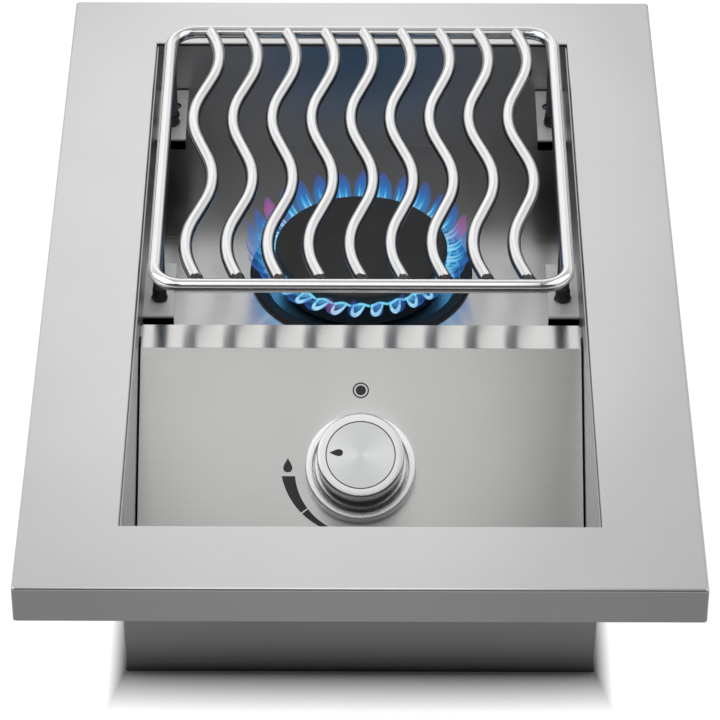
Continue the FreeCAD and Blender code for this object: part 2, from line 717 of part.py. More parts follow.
def grate_bar(number):
    """One wave-bent rod: straight runs joined by tangent arcs, its ends coped to the outer rod."""
    label = "grate_bar_%d" % number
    body = new_body(label)
    path = sketch_on(body, label + "_path")
    run, swing = amount("wave_half_length"), SIZES["wave_swing"]
    angle = math.radians(SIZES["wave_angle"])
    radius = (run * math.sin(angle) - swing * math.cos(angle)) / (2 - 2 * math.cos(angle))
    rear, front = SIZES["grate_length"] / 2, -SIZES["grate_length"] / 2
    first = rear - SIZES["first_wave"]
    bends = [(first - run * i, 1 if i % 2 == 0 else -1) for i in range(4)]
    slant = math.tan(angle)
    place = Vector(slant * (run / 2 - SIZES["first_wave"]), rear, 0)
    for y, side in bends:
        centre = Vector(side * (swing / 2 - radius), y, 0)
        start = centre + Vector(side * radius * math.cos(angle), radius * math.sin(angle), 0)
        stop = centre + Vector(side * radius * math.cos(angle), -radius * math.sin(angle), 0)
        middle = centre + Vector(side * radius, 0, 0)
        path.addGeometry(Part.LineSegment(place, start))
        path.addGeometry(Part.Arc(start, middle, stop))
        place = stop
    last = place + Vector(-bends[-1][1], -1 / slant, 0) * ((place.y - front) * slant)
    path.addGeometry(Part.LineSegment(place, last))

    def arc_end(arc, wanted):
        near = path.getPoint(arc, 1).distanceToPoint(wanted) < path.getPoint(arc, 2).distanceToPoint(wanted)
        return 1 if near else 2

    for i in range(4):
        line, arc = 2 * i, 2 * i + 1
        came, went = path.getPoint(line, 2), path.getPoint(line + 2, 1)
        path.addConstraint(Sketcher.Constraint("Tangent", line, 2, arc, arc_end(arc, came)))
        path.addConstraint(Sketcher.Constraint("Tangent", arc, arc_end(arc, went), line + 2, 1))
        size = path.addConstraint(Sketcher.Constraint("Radius", arc, radius))
        path.setExpression("Constraints[%d]" % size, bind("bend_radius"))
        sign = "" if i % 2 == 0 else "-"
        fix_point(path, arc, 3, sign + "(wave_swing / 2 - bend_radius)",
                  "grate_length / 2 - first_wave - wave_half_length * %d" % i)
    path.addConstraint(Sketcher.Constraint("Parallel", 0, 4))
    path.addConstraint(Sketcher.Constraint("Parallel", 8, 4))
    for line, end, text in ((0, 1, "grate_length / 2"), (8, 2, "-grate_length / 2")):
        here = path.getPoint(line, end).y
        row = path.addConstraint(Sketcher.Constraint("DistanceY", -1, 1, line, end, here))
        path.setExpression("Constraints[%d]" % row, bind(text))
    section = sketch_on(body, label + "_section", "XZ_Plane", "-grate_length / 2")
    section.AttachmentOffset = Placement(Vector(), Rotation(Vector(0, 1, 0), 1))
    section.setExpression("AttachmentOffset.Rotation.Angle", bind("wave_angle"))
    section.setExpression("AttachmentOffset.Base.x",
                          bind("tan(wave_angle * 1 deg) * (wave_half_length / 2 - first_wave)"))
    circle(section, "0", "0", "bar_radius")
    doc.recompute()
    pipe = body.newObject("PartDesign::AdditivePipe", label + "_pipe")
    pipe.Profile = section
    pipe.Spine = (path, ["Edge%d" % (i + 1) for i in range(9)])
    check_solid(body, label + "_pipe")
    cope = sketch_on(body, label + "_cope", "YZ_Plane")
    for sign in ("-", ""):
        circle(cope, sign + "grate_length / 2", "0", "rod_radius")
    pocket(body, cope, "bar_radius * 8 + wave_swing", both_ways=True)
    move(body, x="bar_pitch * (%d - (bar_count + 1) / 2)" % number, y="grate_middle", z="grate_level")


def grate_leg(label, side, place):
    """Short peg under a side rod, its top coped to the rod, its foot on a shelf."""
    body = new_body(label)
    foot = sketch_on(body, label + "_foot", lift="shelf_level")
    circle(foot, "0", "0", "leg_radius")
    pad(body, foot, "grate_level - shelf_level")
    cope = sketch_on(body, label + "_cope", "XZ_Plane")
    circle(cope, "0", "grate_level", "rod_radius")
    pocket(body, cope, "leg_radius * 4", both_ways=True)
    move(body, x=side + "grate_width / 2", y=place)


def turned(label, points, y="burner_middle", rounds=()):
    """A round piece from half of its outline, standing on the burner's axis."""
    body = new_body(label)
    sketch = sketch_on(body, label + "_outline", "XZ_Plane")
    polygon(sketch, points)
    revolve(body, sketch)
    for count, (radius, chosen) in enumerate(rounds):
        soften(body, "%s_round_%d" % (label, count), radius, chosen)
    move(body, y=y)
    return body


def circle_at(radius, level):
    """Test that picks the round edge of a radius and level."""
    def chosen(edge):
        box = edge.BoundBox
        return at(edge, "z", level) and abs(box.XMax - radius) < 0.01
    return chosen


def burner():
    """Trim ring, drip bowl, base casting, ported head and cap, from the pan upwards."""
    turned("trim_ring", [("ring_inner_radius", "pan_floor + ring_seat"),
                         ("bowl_flange_radius + end_gap", "pan_floor + ring_seat"),
                         ("bowl_flange_radius + end_gap", "pan_floor"), ("ring_outer_radius", "pan_floor"),
                         ("ring_outer_radius", "pan_floor + ring_height - ring_bevel"),
                         ("ring_outer_radius - ring_bevel", "pan_floor + ring_height"),
                         ("ring_inner_radius + ring_bevel", "pan_floor + ring_height"),
                         ("ring_inner_radius", "pan_floor + ring_height - ring_bevel")])
    bowl = turned("burner_bowl", [("bowl_hole_radius", "bowl_floor"), ("bowl_flat_radius", "bowl_floor"),
                                  ("bowl_rim_radius", "pan_floor + bowl_sheet"),
                                  ("bowl_flange_radius", "pan_floor + bowl_sheet"),
                                  ("bowl_flange_radius", "pan_floor"),
                                  ("bowl_rim_radius + bowl_sheet / 2", "pan_floor"),
                                  ("bowl_flat_radius + bowl_sheet / 2", "bowl_under"),
                                  ("bowl_hole_radius", "bowl_under")])
    holes = sketch_on(bowl, "bowl_holes", lift="bowl_floor")
    circle(holes, "base_screw_circle", "0", "base_screw_radius + screw_gap")
    polar_pattern(bowl, pocket(bowl, holes, "bowl_sheet * 4", both_ways=True), "3")
    spark = sketch_on(bowl, "bowl_spark_hole", lift="bowl_floor")
    circle(spark, "spark_circle * cos(spark_bearing * 1 deg)", "spark_circle * sin(spark_bearing * 1 deg)",
           "ceramic_radius + end_gap")
    pocket(bowl, spark, "bowl_sheet * 4", both_ways=True)

    base = turned("burner_base", [("0", "base_foot"), ("base_radius - base_bevel", "base_foot"),
                                  ("base_radius", "base_foot + base_bevel"), ("base_radius", "bowl_under"),
                                  ("neck_radius", "bowl_under"), ("neck_radius", "neck_top"),
                                  ("neck_bore_radius", "neck_top"),
                                  ("neck_bore_radius", "base_foot + base_wall"),
                                  ("0", "base_foot + base_wall")])
    socket = sketch_on(base, "base_socket", "XZ_Plane")
    circle(socket, "0", "gas_level", "bowl_under - gas_level")
    pad(base, socket, "base_radius + socket_length")
    chamber = sketch_on(base, "base_chamber", lift="base_foot + base_wall")
    circle(chamber, "0", "0", "neck_bore_radius")
    pocket(base, chamber, "neck_top - base_foot", other_way=True)
    bore = sketch_on(base, "base_bore", "XZ_Plane", "bore_start")
    circle(bore, "0", "gas_level", "tube_radius + seat_gap")
    pocket(base, bore, "base_radius + socket_length", other_way=True)
    threads = sketch_on(base, "base_threads", lift="bowl_under")
    circle(threads, "base_screw_circle", "0", "base_screw_radius + seat_gap")
    polar_pattern(base, pocket(base, threads, "base_screw_length"), "3")

    spots = [("base_screw_circle * cos(%d * 1 deg)" % turn, "base_screw_circle * sin(%d * 1 deg)" % turn)
             for turn in (0, 120, 240)]
    screws("base_screws", spots, "base_screw_radius", "base_screw_length", "base_screw_head_radius",
           "base_screw_head_height", "bowl_floor")
    move(PARTS[-1], y="burner_middle")

    inner = "head_radius - head_wall"
    head = turned("burner_head", [("spigot_radius - spigot_wall", "neck_top - spigot_drop"),
                                  ("spigot_radius", "neck_top - spigot_drop"), ("spigot_radius", "neck_top"),
                                  (inner, "neck_top"), (inner, "head_foot"), ("head_radius", "head_foot"),
                                  ("head_radius", "head_top"), (inner, "head_top"),
                                  (inner, "neck_top + head_floor"),
                                  ("spigot_radius - spigot_wall", "neck_top + head_floor")])
    port = sketch_on(head, "head_port", "XZ_Plane", "head_radius + overcut")
    rectangle(port, "-port_width / 2", "port_width / 2", "head_top - port_depth", "head_top + overcut")
    polar_pattern(head, pocket(head, port, "head_wall + overcut * 2"), "port_count")

    crown = SIZES["head_top"] + SIZES["cap_height"]
    turned("burner_cap", [("0", "head_top"), ("cap_ring_radius - cap_ring_wall", "head_top"),
                          ("cap_ring_radius - cap_ring_wall", "head_top - cap_ring_drop"),
                          ("cap_ring_radius", "head_top - cap_ring_drop"), ("cap_ring_radius", "head_top"),
                          ("cap_radius", "head_top"), ("cap_radius", "head_top + cap_height"),
                          ("0", "head_top + cap_height")],
           rounds=[("cap_edge_round", circle_at(amount("cap_radius"), crown))])


def screws(label, spots, radius, length, head_radius, head_height, lift, role="XY_Plane"):
    """Pan-head screws in one node: each head stands on the plane, each shank goes in from it."""
    body = new_body(label)
    heads = sketch_on(body, label + "_heads", role, lift)
    shanks = sketch_on(body, label + "_shanks", role, lift)
    for x, y in spots:
        circle(heads, x, y, head_radius)
        circle(shanks, x, y, radius)
    pad(body, heads, head_height)
    pad(body, shanks, length, other_way=True)
    return body


def hexagon(sketch, across):
    """Six-sided outline with flats above and below."""
    reach, half = "(%s) / sqrt(3)" % across, "(%s) / 2" % across
    polygon(sketch, [(reach, "0"), (reach + " / 2", half), ("-" + reach + " / 2", half), ("-" + reach, "0"),
                     ("-" + reach + " / 2", "-" + half), (reach + " / 2", "-" + half)])


def along_gas_line(body, x, y):
    """Lay a body on the gas line, its own Z pointing to the rear."""
    lean(body, (-1, 0, 0), "90")
    move(body, x, y, "gas_level")


def mixing_tube():
    """Mixing tube with its two air windows, the turning shutter over them and the screw that sets it."""
    tube = new_body("mixing_tube")
    wall = sketch_on(tube, "tube_outline", "XZ_Plane")
    length = "burner_middle - base_radius - socket_length + tube_entry - tube_mouth"
    inner = "tube_radius - tube_wall"
    polygon(wall, [("jet_radius + jet_gap", "0"), ("tube_radius", "0"), ("tube_radius", length),
                   (inner, length), (inner, "tube_wall"), ("jet_radius + jet_gap", "tube_wall")])
    revolve(tube, wall)
    windows = sketch_on(tube, "tube_windows", "YZ_Plane")
    window = ("-window_height / 2", "window_height / 2", "window_place", "window_place + window_length")
    rectangle(windows, *window)
    pocket(tube, windows, "tube_radius * 4", both_ways=True)
    thread = sketch_on(tube, "tube_thread", "XZ_Plane", "tube_radius")
    circle(thread, "0", "slot_place", "shutter_screw_radius + seat_gap")
    pocket(tube, thread, "tube_wall * 3", both_ways=True)
    along_gas_line(tube, "0", "tube_mouth")

    bore = "tube_radius + shutter_gap"
    sleeve = new_body("air_shutter")
    ring = sketch_on(sleeve, "shutter_outline", "XZ_Plane")
    rectangle(ring, bore, bore + " + shutter_wall", "shutter_lap", "shutter_lap + shutter_length")
    revolve(sleeve, ring)
    gates = sketch_on(sleeve, "shutter_windows", "YZ_Plane")
    gates.AttachmentOffset = Placement(Vector(), Rotation(Vector(0, 1, 0), 1))
    gates.setExpression("AttachmentOffset.Rotation.Angle", bind("shutter_turn / 2"))
    rectangle(gates, *window)
    pocket(sleeve, gates, "tube_radius * 4", both_ways=True)
    slot = sketch_on(sleeve, "shutter_slot", "YZ_Plane")
    rectangle(slot, "-(%s + shutter_wall + overcut)" % bore, "-(%s - overcut)" % bore,
              "slot_place - slot_width / 2", "slot_place + slot_width / 2")
    room = "2 * asin(slot_width / 2 / (tube_radius + shutter_wall / 2)) / 1 deg"
    track = revolve(sleeve, slot, cut=True, angle="shutter_turn + " + room)
    track.Midplane = True
    check_solid(sleeve, "shutter slot")
    along_gas_line(sleeve, "0", "tube_mouth")

    screws("shutter_screw", [("0", "slot_place")], "shutter_screw_radius",
           "shutter_wall + shutter_gap + shutter_screw_grip", "shutter_screw_head_radius",
           "shutter_screw_head_height", bore + " + shutter_wall + shutter_head_gap", "XZ_Plane")
    along_gas_line(PARTS[-1], "0", "tube_mouth")


def gas_jet():
    """Brass orifice screwed into the outlet; its nose enters the end of the mixing tube."""
    body = new_body("gas_jet")
    nut = sketch_on(body, "jet_nut")
    hexagon(nut, "jet_hex_across")
    pad(body, nut, "jet_hex_height")
    nose = sketch_on(body, "jet_nose")
    circle(nose, "0", "0", "jet_radius")
    pad(body, nose, "jet_hex_height + jet_length")
    shank = sketch_on(body, "jet_shank")
    circle(shank, "0", "0", "jet_shank_radius")
    pad(body, shank, "jet_shank_length", other_way=True)
    feed = sketch_on(body, "jet_feed", lift="-jet_shank_length")
    circle(feed, "0", "0", "jet_feed_radius")
    pocket(body, feed, "jet_shank_length + jet_hex_height + jet_length - jet_nose_wall", other_way=True)
    bore = sketch_on(body, "jet_bore")
    circle(bore, "0", "0", "jet_bore_radius")
    pocket(body, bore, other_way=True)
    along_gas_line(body, "0", "gas_y + outlet_length")


def gas_valve():
    """Valve square to the fascia: barrel with taper bore, plug, spring, stem and bonnet.

    Gas comes in at the side, enters the plug by its large port at HIGH or its small one at LOW,
    and leaves by the plug's open lower end.
    """
    body = new_body("valve_body")
    barrel = sketch_on(body, "valve_barrel", lift="-valve_top")
    circle(barrel, "0", "0", "barrel_radius")
    pad(body, barrel, "valve_depth - valve_top", other_way=True)
    inlet = sketch_on(body, "valve_inlet", "YZ_Plane")
    circle(inlet, "0", "-gas_depth", "inlet_radius")
    pad(body, inlet, "inlet_length")

    def toward_burner(name):
        sketch = sketch_on(body, name, "XZ_Plane")
        sketch.AttachmentOffset = Placement(Vector(), Rotation(Vector(-1, 0, 0), 1))
        sketch.setExpression("AttachmentOffset.Rotation.Angle", bind("panel_slope"))
        sketch.setExpression("AttachmentOffset.Base.y", bind("-gas_depth"))
        return sketch

    outlet = toward_burner("valve_outlet")
    circle(outlet, "0", "0", "outlet_radius")
    pad(body, outlet, "outlet_length", other_way=True)
    flange = sketch_on(body, "valve_flange", lift="-valve_top")
    rectangle(flange, "-flange_width / 2", "flange_width / 2", "-flange_height / 2", "flange_height / 2")
    pad(body, flange, "flange_thick", other_way=True)
    half_x, half_y = SIZES["flange_width"] / 2, SIZES["flange_height"] / 2

    def flange_corner(edge):
        middle = edge.CenterOfMass
        return abs(abs(middle.x) - half_x) < 0.01 and abs(abs(middle.y) - half_y) < 0.01

    soften(body, "valve_flange_corners", "flange_round", flange_corner)
    room = sketch_on(body, "valve_room", "XZ_Plane")
    polygon(room, [("0", "-valve_top"), ("spring_room_radius", "-valve_top"),
                   ("spring_room_radius", "-plug_top"), ("plug_top_radius + plug_gap", "-plug_top"),
                   ("plug_bottom_radius + plug_gap", "-plug_bottom"), ("0", "-plug_bottom")])
    revolve(body, room, cut=True)
    ways = toward_burner("valve_way_out")
    circle(ways, "0", "0", "gas_bore_radius")
    pocket(body, ways, "outlet_length * 2")
    seat = toward_burner("valve_jet_thread")
    seat.setExpression("AttachmentOffset.Base.z", bind("-outlet_length * cos(panel_slope * 1 deg)"))
    seat.setExpression("AttachmentOffset.Base.y",
                       bind("-gas_depth - outlet_length * sin(panel_slope * 1 deg)"))
    circle(seat, "0", "0", "jet_shank_radius + seat_gap")
    pocket(body, seat, "jet_shank_length + end_gap", other_way=True)
    feed = sketch_on(body, "valve_way_in", "YZ_Plane")
    circle(feed, "0", "-gas_depth", "gas_bore_radius")
    pocket(body, feed, "inlet_length * 2", other_way=True)
    union = sketch_on(body, "valve_union", "YZ_Plane", "inlet_length")
    circle(union, "0", "-gas_depth", "pipe_radius + pipe_gap")
    pocket(body, union, "pipe_lap + end_gap")
    spots = [("-bonnet_screw_place", "bonnet_screw_drop"), ("bonnet_screw_place", "-bonnet_screw_drop")]
    threads = sketch_on(body, "valve_threads", lift="-valve_top")
    for x, y in spots:
        circle(threads, x, y, "bonnet_screw_radius + seat_gap")
    pocket(body, threads, "flange_thick")
    on_knob_axis(body)

    plug = new_body("valve_plug")
    taper = sketch_on(plug, "plug_taper", "XZ_Plane")
    low = "-plug_bottom + end_gap"
    polygon(taper, [("0", low), ("plug_bottom_radius", low), ("plug_top_radius", "-plug_top"),
                    ("0", "-plug_top")])
    revolve(plug, taper)
    key = sketch_on(plug, "plug_key", lift="-plug_top")
    rectangle(key, "-stem_radius - key_gap", "stem_radius + key_gap",
              "-stem_flat / 2 - key_gap", "stem_flat / 2 + key_gap")
    pocket(plug, key, "plug_key_depth")
    port = sketch_on(plug, "plug_high_port", "YZ_Plane")
    circle(port, "0", "-gas_depth", "plug_way_radius")
    pocket(plug, port, "plug_top_radius * 2", other_way=True)
    port = sketch_on(plug, "plug_low_port", "XZ_Plane")
    circle(port, "0", "-gas_depth", "plug_low_radius")
    pocket(plug, port, "plug_top_radius * 2", other_way=True)
    way = sketch_on(plug, "plug_way_out", lift=low)
    circle(way, "0", "0", "plug_out_radius")
    pocket(plug, way, "plug_bottom - end_gap - gas_depth + plug_way_radius", other_way=True)
    on_knob_axis(plug)

    bonnet = new_body("valve_bonnet")
    plate = sketch_on(bonnet, "bonnet_plate", lift="-valve_top")
    rectangle(plate, "-flange_width / 2", "flange_width / 2", "-flange_height / 2", "flange_height / 2")
    pad(bonnet, plate, "bonnet_thick")
    soften(bonnet, "bonnet_corners", "flange_round", flange_corner)
    bosses = sketch_on(bonnet, "bonnet_bosses", lift="-panel_sheet")
    threads = sketch_on(bonnet, "bonnet_threads", lift="-panel_sheet")
    for side in ("-", ""):
        circle(bosses, side + "knob_screw_place", "0", "boss_radius")
        circle(threads, side + "knob_screw_place", "0", "knob_screw_radius + seat_gap")
    pad(bonnet, bosses, "valve_top - panel_sheet", other_way=True)
    pocket(bonnet, threads, "knob_screw_length")
    holes = sketch_on(bonnet, "bonnet_holes", lift="-valve_top + bonnet_thick")
    circle(holes, "0", "0", "stem_radius + stem_gap")
    for x, y in spots:
        circle(holes, x, y, "bonnet_screw_radius + screw_gap")
    pocket(bonnet, holes, "bonnet_thick * 2", both_ways=True)
    on_knob_axis(bonnet)
    screws("bonnet_screws", spots, "bonnet_screw_radius", "bonnet_screw_length", "bonnet_screw_head_radius",
           "bonnet_screw_head_height", "-valve_top + bonnet_thick")
    on_knob_axis(PARTS[-1])

    stem = new_body("valve_stem")
    shape = sketch_on(stem, "stem_outline", "XZ_Plane")
    collar = "-valve_top - seat_gap"
    polygon(shape, [("0", collar + " - collar_thick"), ("collar_radius", collar + " - collar_thick"),
                    ("collar_radius", collar), ("stem_radius", collar), ("stem_radius", "stem_top"),
                    ("0", "stem_top")])
    revolve(stem, shape)
    blade = sketch_on(stem, "stem_blade", lift=collar + " - collar_thick / 2")
    rectangle(blade, "-stem_radius", "stem_radius", "-stem_flat / 2", "stem_flat / 2")
    pad(stem, blade, "stem_bottom - valve_top - seat_gap - collar_thick / 2", other_way=True)
    flat = sketch_on(stem, "stem_flat_cut", lift="knob_foot + hub_lift - end_gap")
    rectangle(flat, "-stem_radius * 2", "stem_radius * 2", "stem_flat", "stem_radius * 2")
    pocket(stem, flat, other_way=True)
    on_knob_axis(stem)

    spring = new_body("valve_spring")
    wire = sketch_on(spring, "spring_wire", "XZ_Plane")
    circle(wire, "spring_radius", "-plug_top + spring_wire_radius + seat_gap", "spring_wire_radius")
    doc.recompute()
    coil = spring.newObject("PartDesign::AdditiveHelix", "spring_coil")
    coil.Profile = wire
    coil.ReferenceAxis = (wire, ["V_Axis"])
    coil.Mode = "height-turns-angle"
    room = "plug_top - valve_top - collar_thick - seat_gap * 3"
    coil.setExpression("Height", bind(room + " - spring_wire_radius * 2"))
    coil.setExpression("Turns", bind("spring_turns"))
    check_solid(spring, "spring coil")
    on_knob_axis(spring)


def dee(sketch, radius, flat):
    """Round outline with one flat on the +Y side."""
    size = SIZES["stem_radius"]
    level = SIZES["stem_flat"]
    lean_angle = math.asin(level / size)
    right = Vector(size * math.cos(lean_angle), level, 0)
    left = Vector(-right.x, level, 0)
    ball = Part.Circle(Vector(), Vector(0, 0, 1), size)
    sketch.addGeometry(Part.ArcOfCircle(ball, math.pi - lean_angle, math.tau + lean_angle))
    sketch.addGeometry(Part.LineSegment(right, left))
    for kind in (("Coincident", 0, 3, -1, 1), ("Coincident", 0, 2, 1, 1), ("Coincident", 1, 2, 0, 1),
                 ("Horizontal", 1)):
        sketch.addConstraint(Sketcher.Constraint(*kind))
    row = sketch.addConstraint(Sketcher.Constraint("Radius", 0, size))
    sketch.setExpression("Constraints[%d]" % row, bind(radius))
    row = sketch.addConstraint(Sketcher.Constraint("DistanceY", -1, 1, 1, 1, level))
    sketch.setExpression("Constraints[%d]" % row, bind(flat))


def knob():
    """Raised ring on the fascia, the hollow knob and the disc let into its face."""
    ring = new_body("knob_ring")
    outline = sketch_on(ring, "knob_ring_outline", "XZ_Plane")
    polygon(outline, [("knob_ring_hole", "0"), ("knob_ring_radius", "0"),
                      ("knob_ring_radius", "knob_ring_height - ring_shoulder_drop"),
                      ("knob_ring_radius - ring_shoulder_set", "knob_ring_height - ring_crown_drop"),
                      ("knob_ring_radius - ring_crown_set", "knob_ring_height"),
                      ("knob_ring_bore + ring_mouth_bevel", "knob_ring_height"),
                      ("knob_ring_bore", "knob_ring_height - ring_mouth_bevel"),
                      ("knob_ring_bore", "knob_ring_base"), ("knob_ring_hole", "knob_ring_base")])
    revolve(ring, outline)
    holes = sketch_on(ring, "knob_ring_holes", lift="knob_ring_base")
    spots = [(side + "knob_screw_place", "0") for side in ("-", "")]
    for x, y in spots:
        circle(holes, x, y, "knob_screw_radius + screw_gap")
    pocket(ring, holes, "knob_ring_base * 4", both_ways=True)
    on_knob_axis(ring)
    screws("knob_ring_screws", spots, "knob_screw_radius", "knob_screw_length",
           "knob_screw_head_radius", "knob_screw_head_height", "knob_ring_base")
    on_knob_axis(PARTS[-1])

    body = new_body("knob_body")
    outline = sketch_on(body, "knob_outline", "XZ_Plane")
    floor = "knob_top - face_recess"
    skirt_top = "knob_foot + skirt_height"
    waist_top = "knob_foot + skirt_height + waist_height"
    hollow = "waist_radius - knob_wall"
    ceiling = "knob_top - face_recess - knob_wall"
    hub_end = "knob_foot + hub_lift"
    polygon(outline, [("0", hub_end), ("hub_radius", hub_end), ("hub_radius", ceiling),
                      (hollow, ceiling), (hollow, "knob_foot"), ("skirt_radius", "knob_foot"),
                      ("skirt_radius", skirt_top), ("waist_radius", skirt_top), ("waist_radius", waist_top),
                      ("knob_radius", waist_top), ("knob_radius", "knob_top"),
                      ("face_radius + face_gap", "knob_top"), ("face_radius + face_gap", floor),
                      ("0", floor)])
    revolve(body, outline)
    top, rim = SIZES["knob_top"], SIZES["knob_radius"]
    soften(body, "knob_edge", "knob_edge_round", circle_at(rim, top))
    bore = sketch_on(body, "knob_bore", lift=hub_end)
    dee(bore, "stem_radius + seat_gap", "stem_flat + seat_gap")
    pocket(body, bore, "stem_top - knob_foot - hub_lift + end_gap", other_way=True)
    on_knob_axis(body)

    face = new_body("knob_face")
    disc = sketch_on(face, "face_outline", "XZ_Plane")
    polygon(disc, [("0", floor), ("face_radius", floor), ("face_radius", "knob_top - face_crown"),
                   ("face_radius - face_crown", "knob_top"), ("0", "knob_top")])
    revolve(face, disc)
    on_knob_axis(face)


def spark_electrode():
    """Ceramic with its wire and the ring that clips it under the bowl."""
    x = "spark_circle * cos(spark_bearing * 1 deg)"
    y = "burner_middle + spark_circle * sin(spark_bearing * 1 deg)"
    shoulder = "bowl_under - ceramic_collar_height"
    wire = "spark_rod_radius + seat_gap"
    stick = turned("spark_ceramic", [(wire, "ceramic_bottom"), ("ceramic_radius", "ceramic_bottom"),
                                     ("ceramic_radius", shoulder), ("ceramic_collar_radius", shoulder),
                                     ("ceramic_collar_radius", "bowl_under"),
                                     ("ceramic_radius", "bowl_under"),
                                     ("ceramic_radius", "ceramic_top - ceramic_bevel"),
                                     ("ceramic_radius - ceramic_bevel", "ceramic_top"),
                                     (wire, "ceramic_top")])
    move(stick, x, y)
    grip = "ceramic_radius + seat_gap"
    clip = turned("spark_clip", [(grip, "bowl_floor"), ("ceramic_collar_radius", "bowl_floor"),
                                 ("ceramic_collar_radius", "bowl_floor + clip_thick"),
                                 (grip, "bowl_floor + clip_thick")])
    move(clip, x, y)
    rod = new_body("spark_wire")
    path = sketch_on(rod, "wire_path", "XZ_Plane")
    bend = 2 * SIZES["spark_rod_radius"]
    low, high = SIZES["spark_rod_bottom"], SIZES["spark_rod_top"]
    path.addGeometry(Part.LineSegment(Vector(0, low, 0), Vector(0, high - bend, 0)))
    ball = Part.Circle(Vector(-bend, high - bend, 0), Vector(0, 0, 1), bend)
    path.addGeometry(Part.ArcOfCircle(ball, 0, math.pi / 2))
    fix_point(path, 0, 1, "0", "spark_rod_bottom")
    path.addConstraint(Sketcher.Constraint("Tangent", 0, 2, 1, 1))
    fix_point(path, 1, 3, "-spark_rod_radius * 2", "spark_rod_top - spark_rod_radius * 2")
    row = path.addConstraint(Sketcher.Constraint("DistanceX", -1, 1, 1, 2, -bend))
    path.setExpression("Constraints[%d]" % row, bind("-spark_rod_radius * 2"))
    section = sketch_on(rod, "wire_section", lift="spark_rod_bottom")
    circle(section, "0", "0", "spark_rod_radius")
    doc.recompute()
    pipe = rod.newObject("PartDesign::AdditivePipe", "wire_pipe")
    pipe.Profile = section
    pipe.Spine = (path, ["Edge1", "Edge2"])
    check_solid(rod, "wire_pipe")
    lean(rod, (0, 0, 1), "spark_bearing")
    move(rod, x, y)


def gas_supply():
    """Supply pipe from the valve to the rear wall, and the fitting and lock nut there."""
    pipe = new_body("supply_pipe")
    path = sketch_on(pipe, "supply_path", lift="gas_level")
    level, rear = amount("gas_y"), amount("inner_rear")
    bend, side = SIZES["pipe_bend_radius"], amount("pipe_side")
    path.addGeometry(Part.LineSegment(Vector(bend, level, 0), Vector(side - bend, level, 0)))
    ball = Part.Circle(Vector(side - bend, level + bend, 0), Vector(0, 0, 1), bend)
    path.addGeometry(Part.ArcOfCircle(ball, -math.pi / 2, 0))
    path.addGeometry(Part.LineSegment(Vector(side, level + bend, 0), Vector(side, rear, 0)))
    path.addConstraint(Sketcher.Constraint("Tangent", 0, 2, 1, 1))
    path.addConstraint(Sketcher.Constraint("Tangent", 1, 2, 2, 1))
    row = path.addConstraint(Sketcher.Constraint("Radius", 1, bend))
    path.setExpression("Constraints[%d]" % row, bind("pipe_bend_radius"))
    fix_point(path, 0, 1, "inlet_length - pipe_lap", "gas_y")
    fix_point(path, 2, 2, "pipe_side", "inner_rear - fitting_in + pipe_lap")
    path.addConstraint(Sketcher.Constraint("Horizontal", 0))
    path.addConstraint(Sketcher.Constraint("Vertical", 2))
    section = sketch_on(pipe, "supply_section", "YZ_Plane", "inlet_length - pipe_lap")
    circle(section, "gas_y", "gas_level", "pipe_radius")
    circle(section, "gas_y", "gas_level", "pipe_radius - pipe_wall")
    doc.recompute()
    sweep = pipe.newObject("PartDesign::AdditivePipe", "supply_sweep")
    sweep.Profile = section
    sweep.Spine = (path, ["Edge1", "Edge2", "Edge3"])
    check_solid(pipe, "supply_sweep")

    fitting = new_body("inlet_fitting")
    barrel = sketch_on(fitting, "fitting_outline", "XZ_Plane")
    shoulder = "box_sheet + bulkhead_out"
    thread = shoulder + " + fitting_relief"
    out = thread + " + fitting_thread + fitting_taper"
    neck = "fitting_radius - fitting_relief_depth"
    polygon(barrel, [("pipe_radius + pipe_gap", "-fitting_in"), ("bulkhead_radius", "-fitting_in"),
                     ("bulkhead_radius", shoulder), (neck, shoulder), (neck, thread),
                     ("fitting_radius", thread), ("fitting_radius", out + " - fitting_taper"),
                     ("fitting_bore_radius + fitting_tip_wall", out), ("fitting_bore_radius", out),
                     ("fitting_bore_radius", "-fitting_in + pipe_lap + end_gap"),
                     ("pipe_radius + pipe_gap", "-fitting_in + pipe_lap + end_gap")])
    revolve(fitting, barrel)
    collar = sketch_on(fitting, "fitting_hex")
    hexagon(collar, "fitting_hex_across")
    circle(collar, "0", "0", "bulkhead_radius - end_gap")
    pad(fitting, collar, "fitting_hex_height", other_way=True)
    along_gas_line(fitting, "pipe_side", "inner_rear")
    nut = new_body("inlet_nut")
    outline = sketch_on(nut, "nut_hex", lift="box_sheet")
    hexagon(outline, "fitting_hex_across")
    circle(outline, "0", "0", "bulkhead_radius + seat_gap")
    pad(nut, outline, "nut_height")
    along_gas_line(nut, "pipe_side", "inner_rear")


bezel_frame()
burner_box()
fire_pan()
control_panel()
foot_spots = [(side + "foot_screw_place", "foot_y + foot_screw_set") for side in ("-", "")]
screws("panel_screws", foot_spots, "foot_screw_radius", "panel_foot_level", "foot_screw_head_radius",
       "foot_screw_head_height", "panel_foot_level")
grate_ring()
for bar in range(1, SIZES["bar_count"] + 1):
    grate_bar(bar)
leg_rows = (("front", "ledge_rear + leg_from_ledge"), ("rear", "inner_rear - leg_from_rear"))
for depth_name, leg_place in leg_rows:
    for side_name, sign, hand in (("left", "-", -1), ("right", "", 1)):
        grate_leg("grate_leg_%s_%s" % (depth_name, side_name), sign, leg_place)
        shelf("shelf_%s_%s" % (depth_name, side_name), hand, leg_place + " - shelf_leg_place",
              "shelf_%s_length" % depth_name)
burner()
spark_electrode()
mixing_tube()
gas_jet()
gas_valve()
knob()
gas_supply()
doc.recompute()

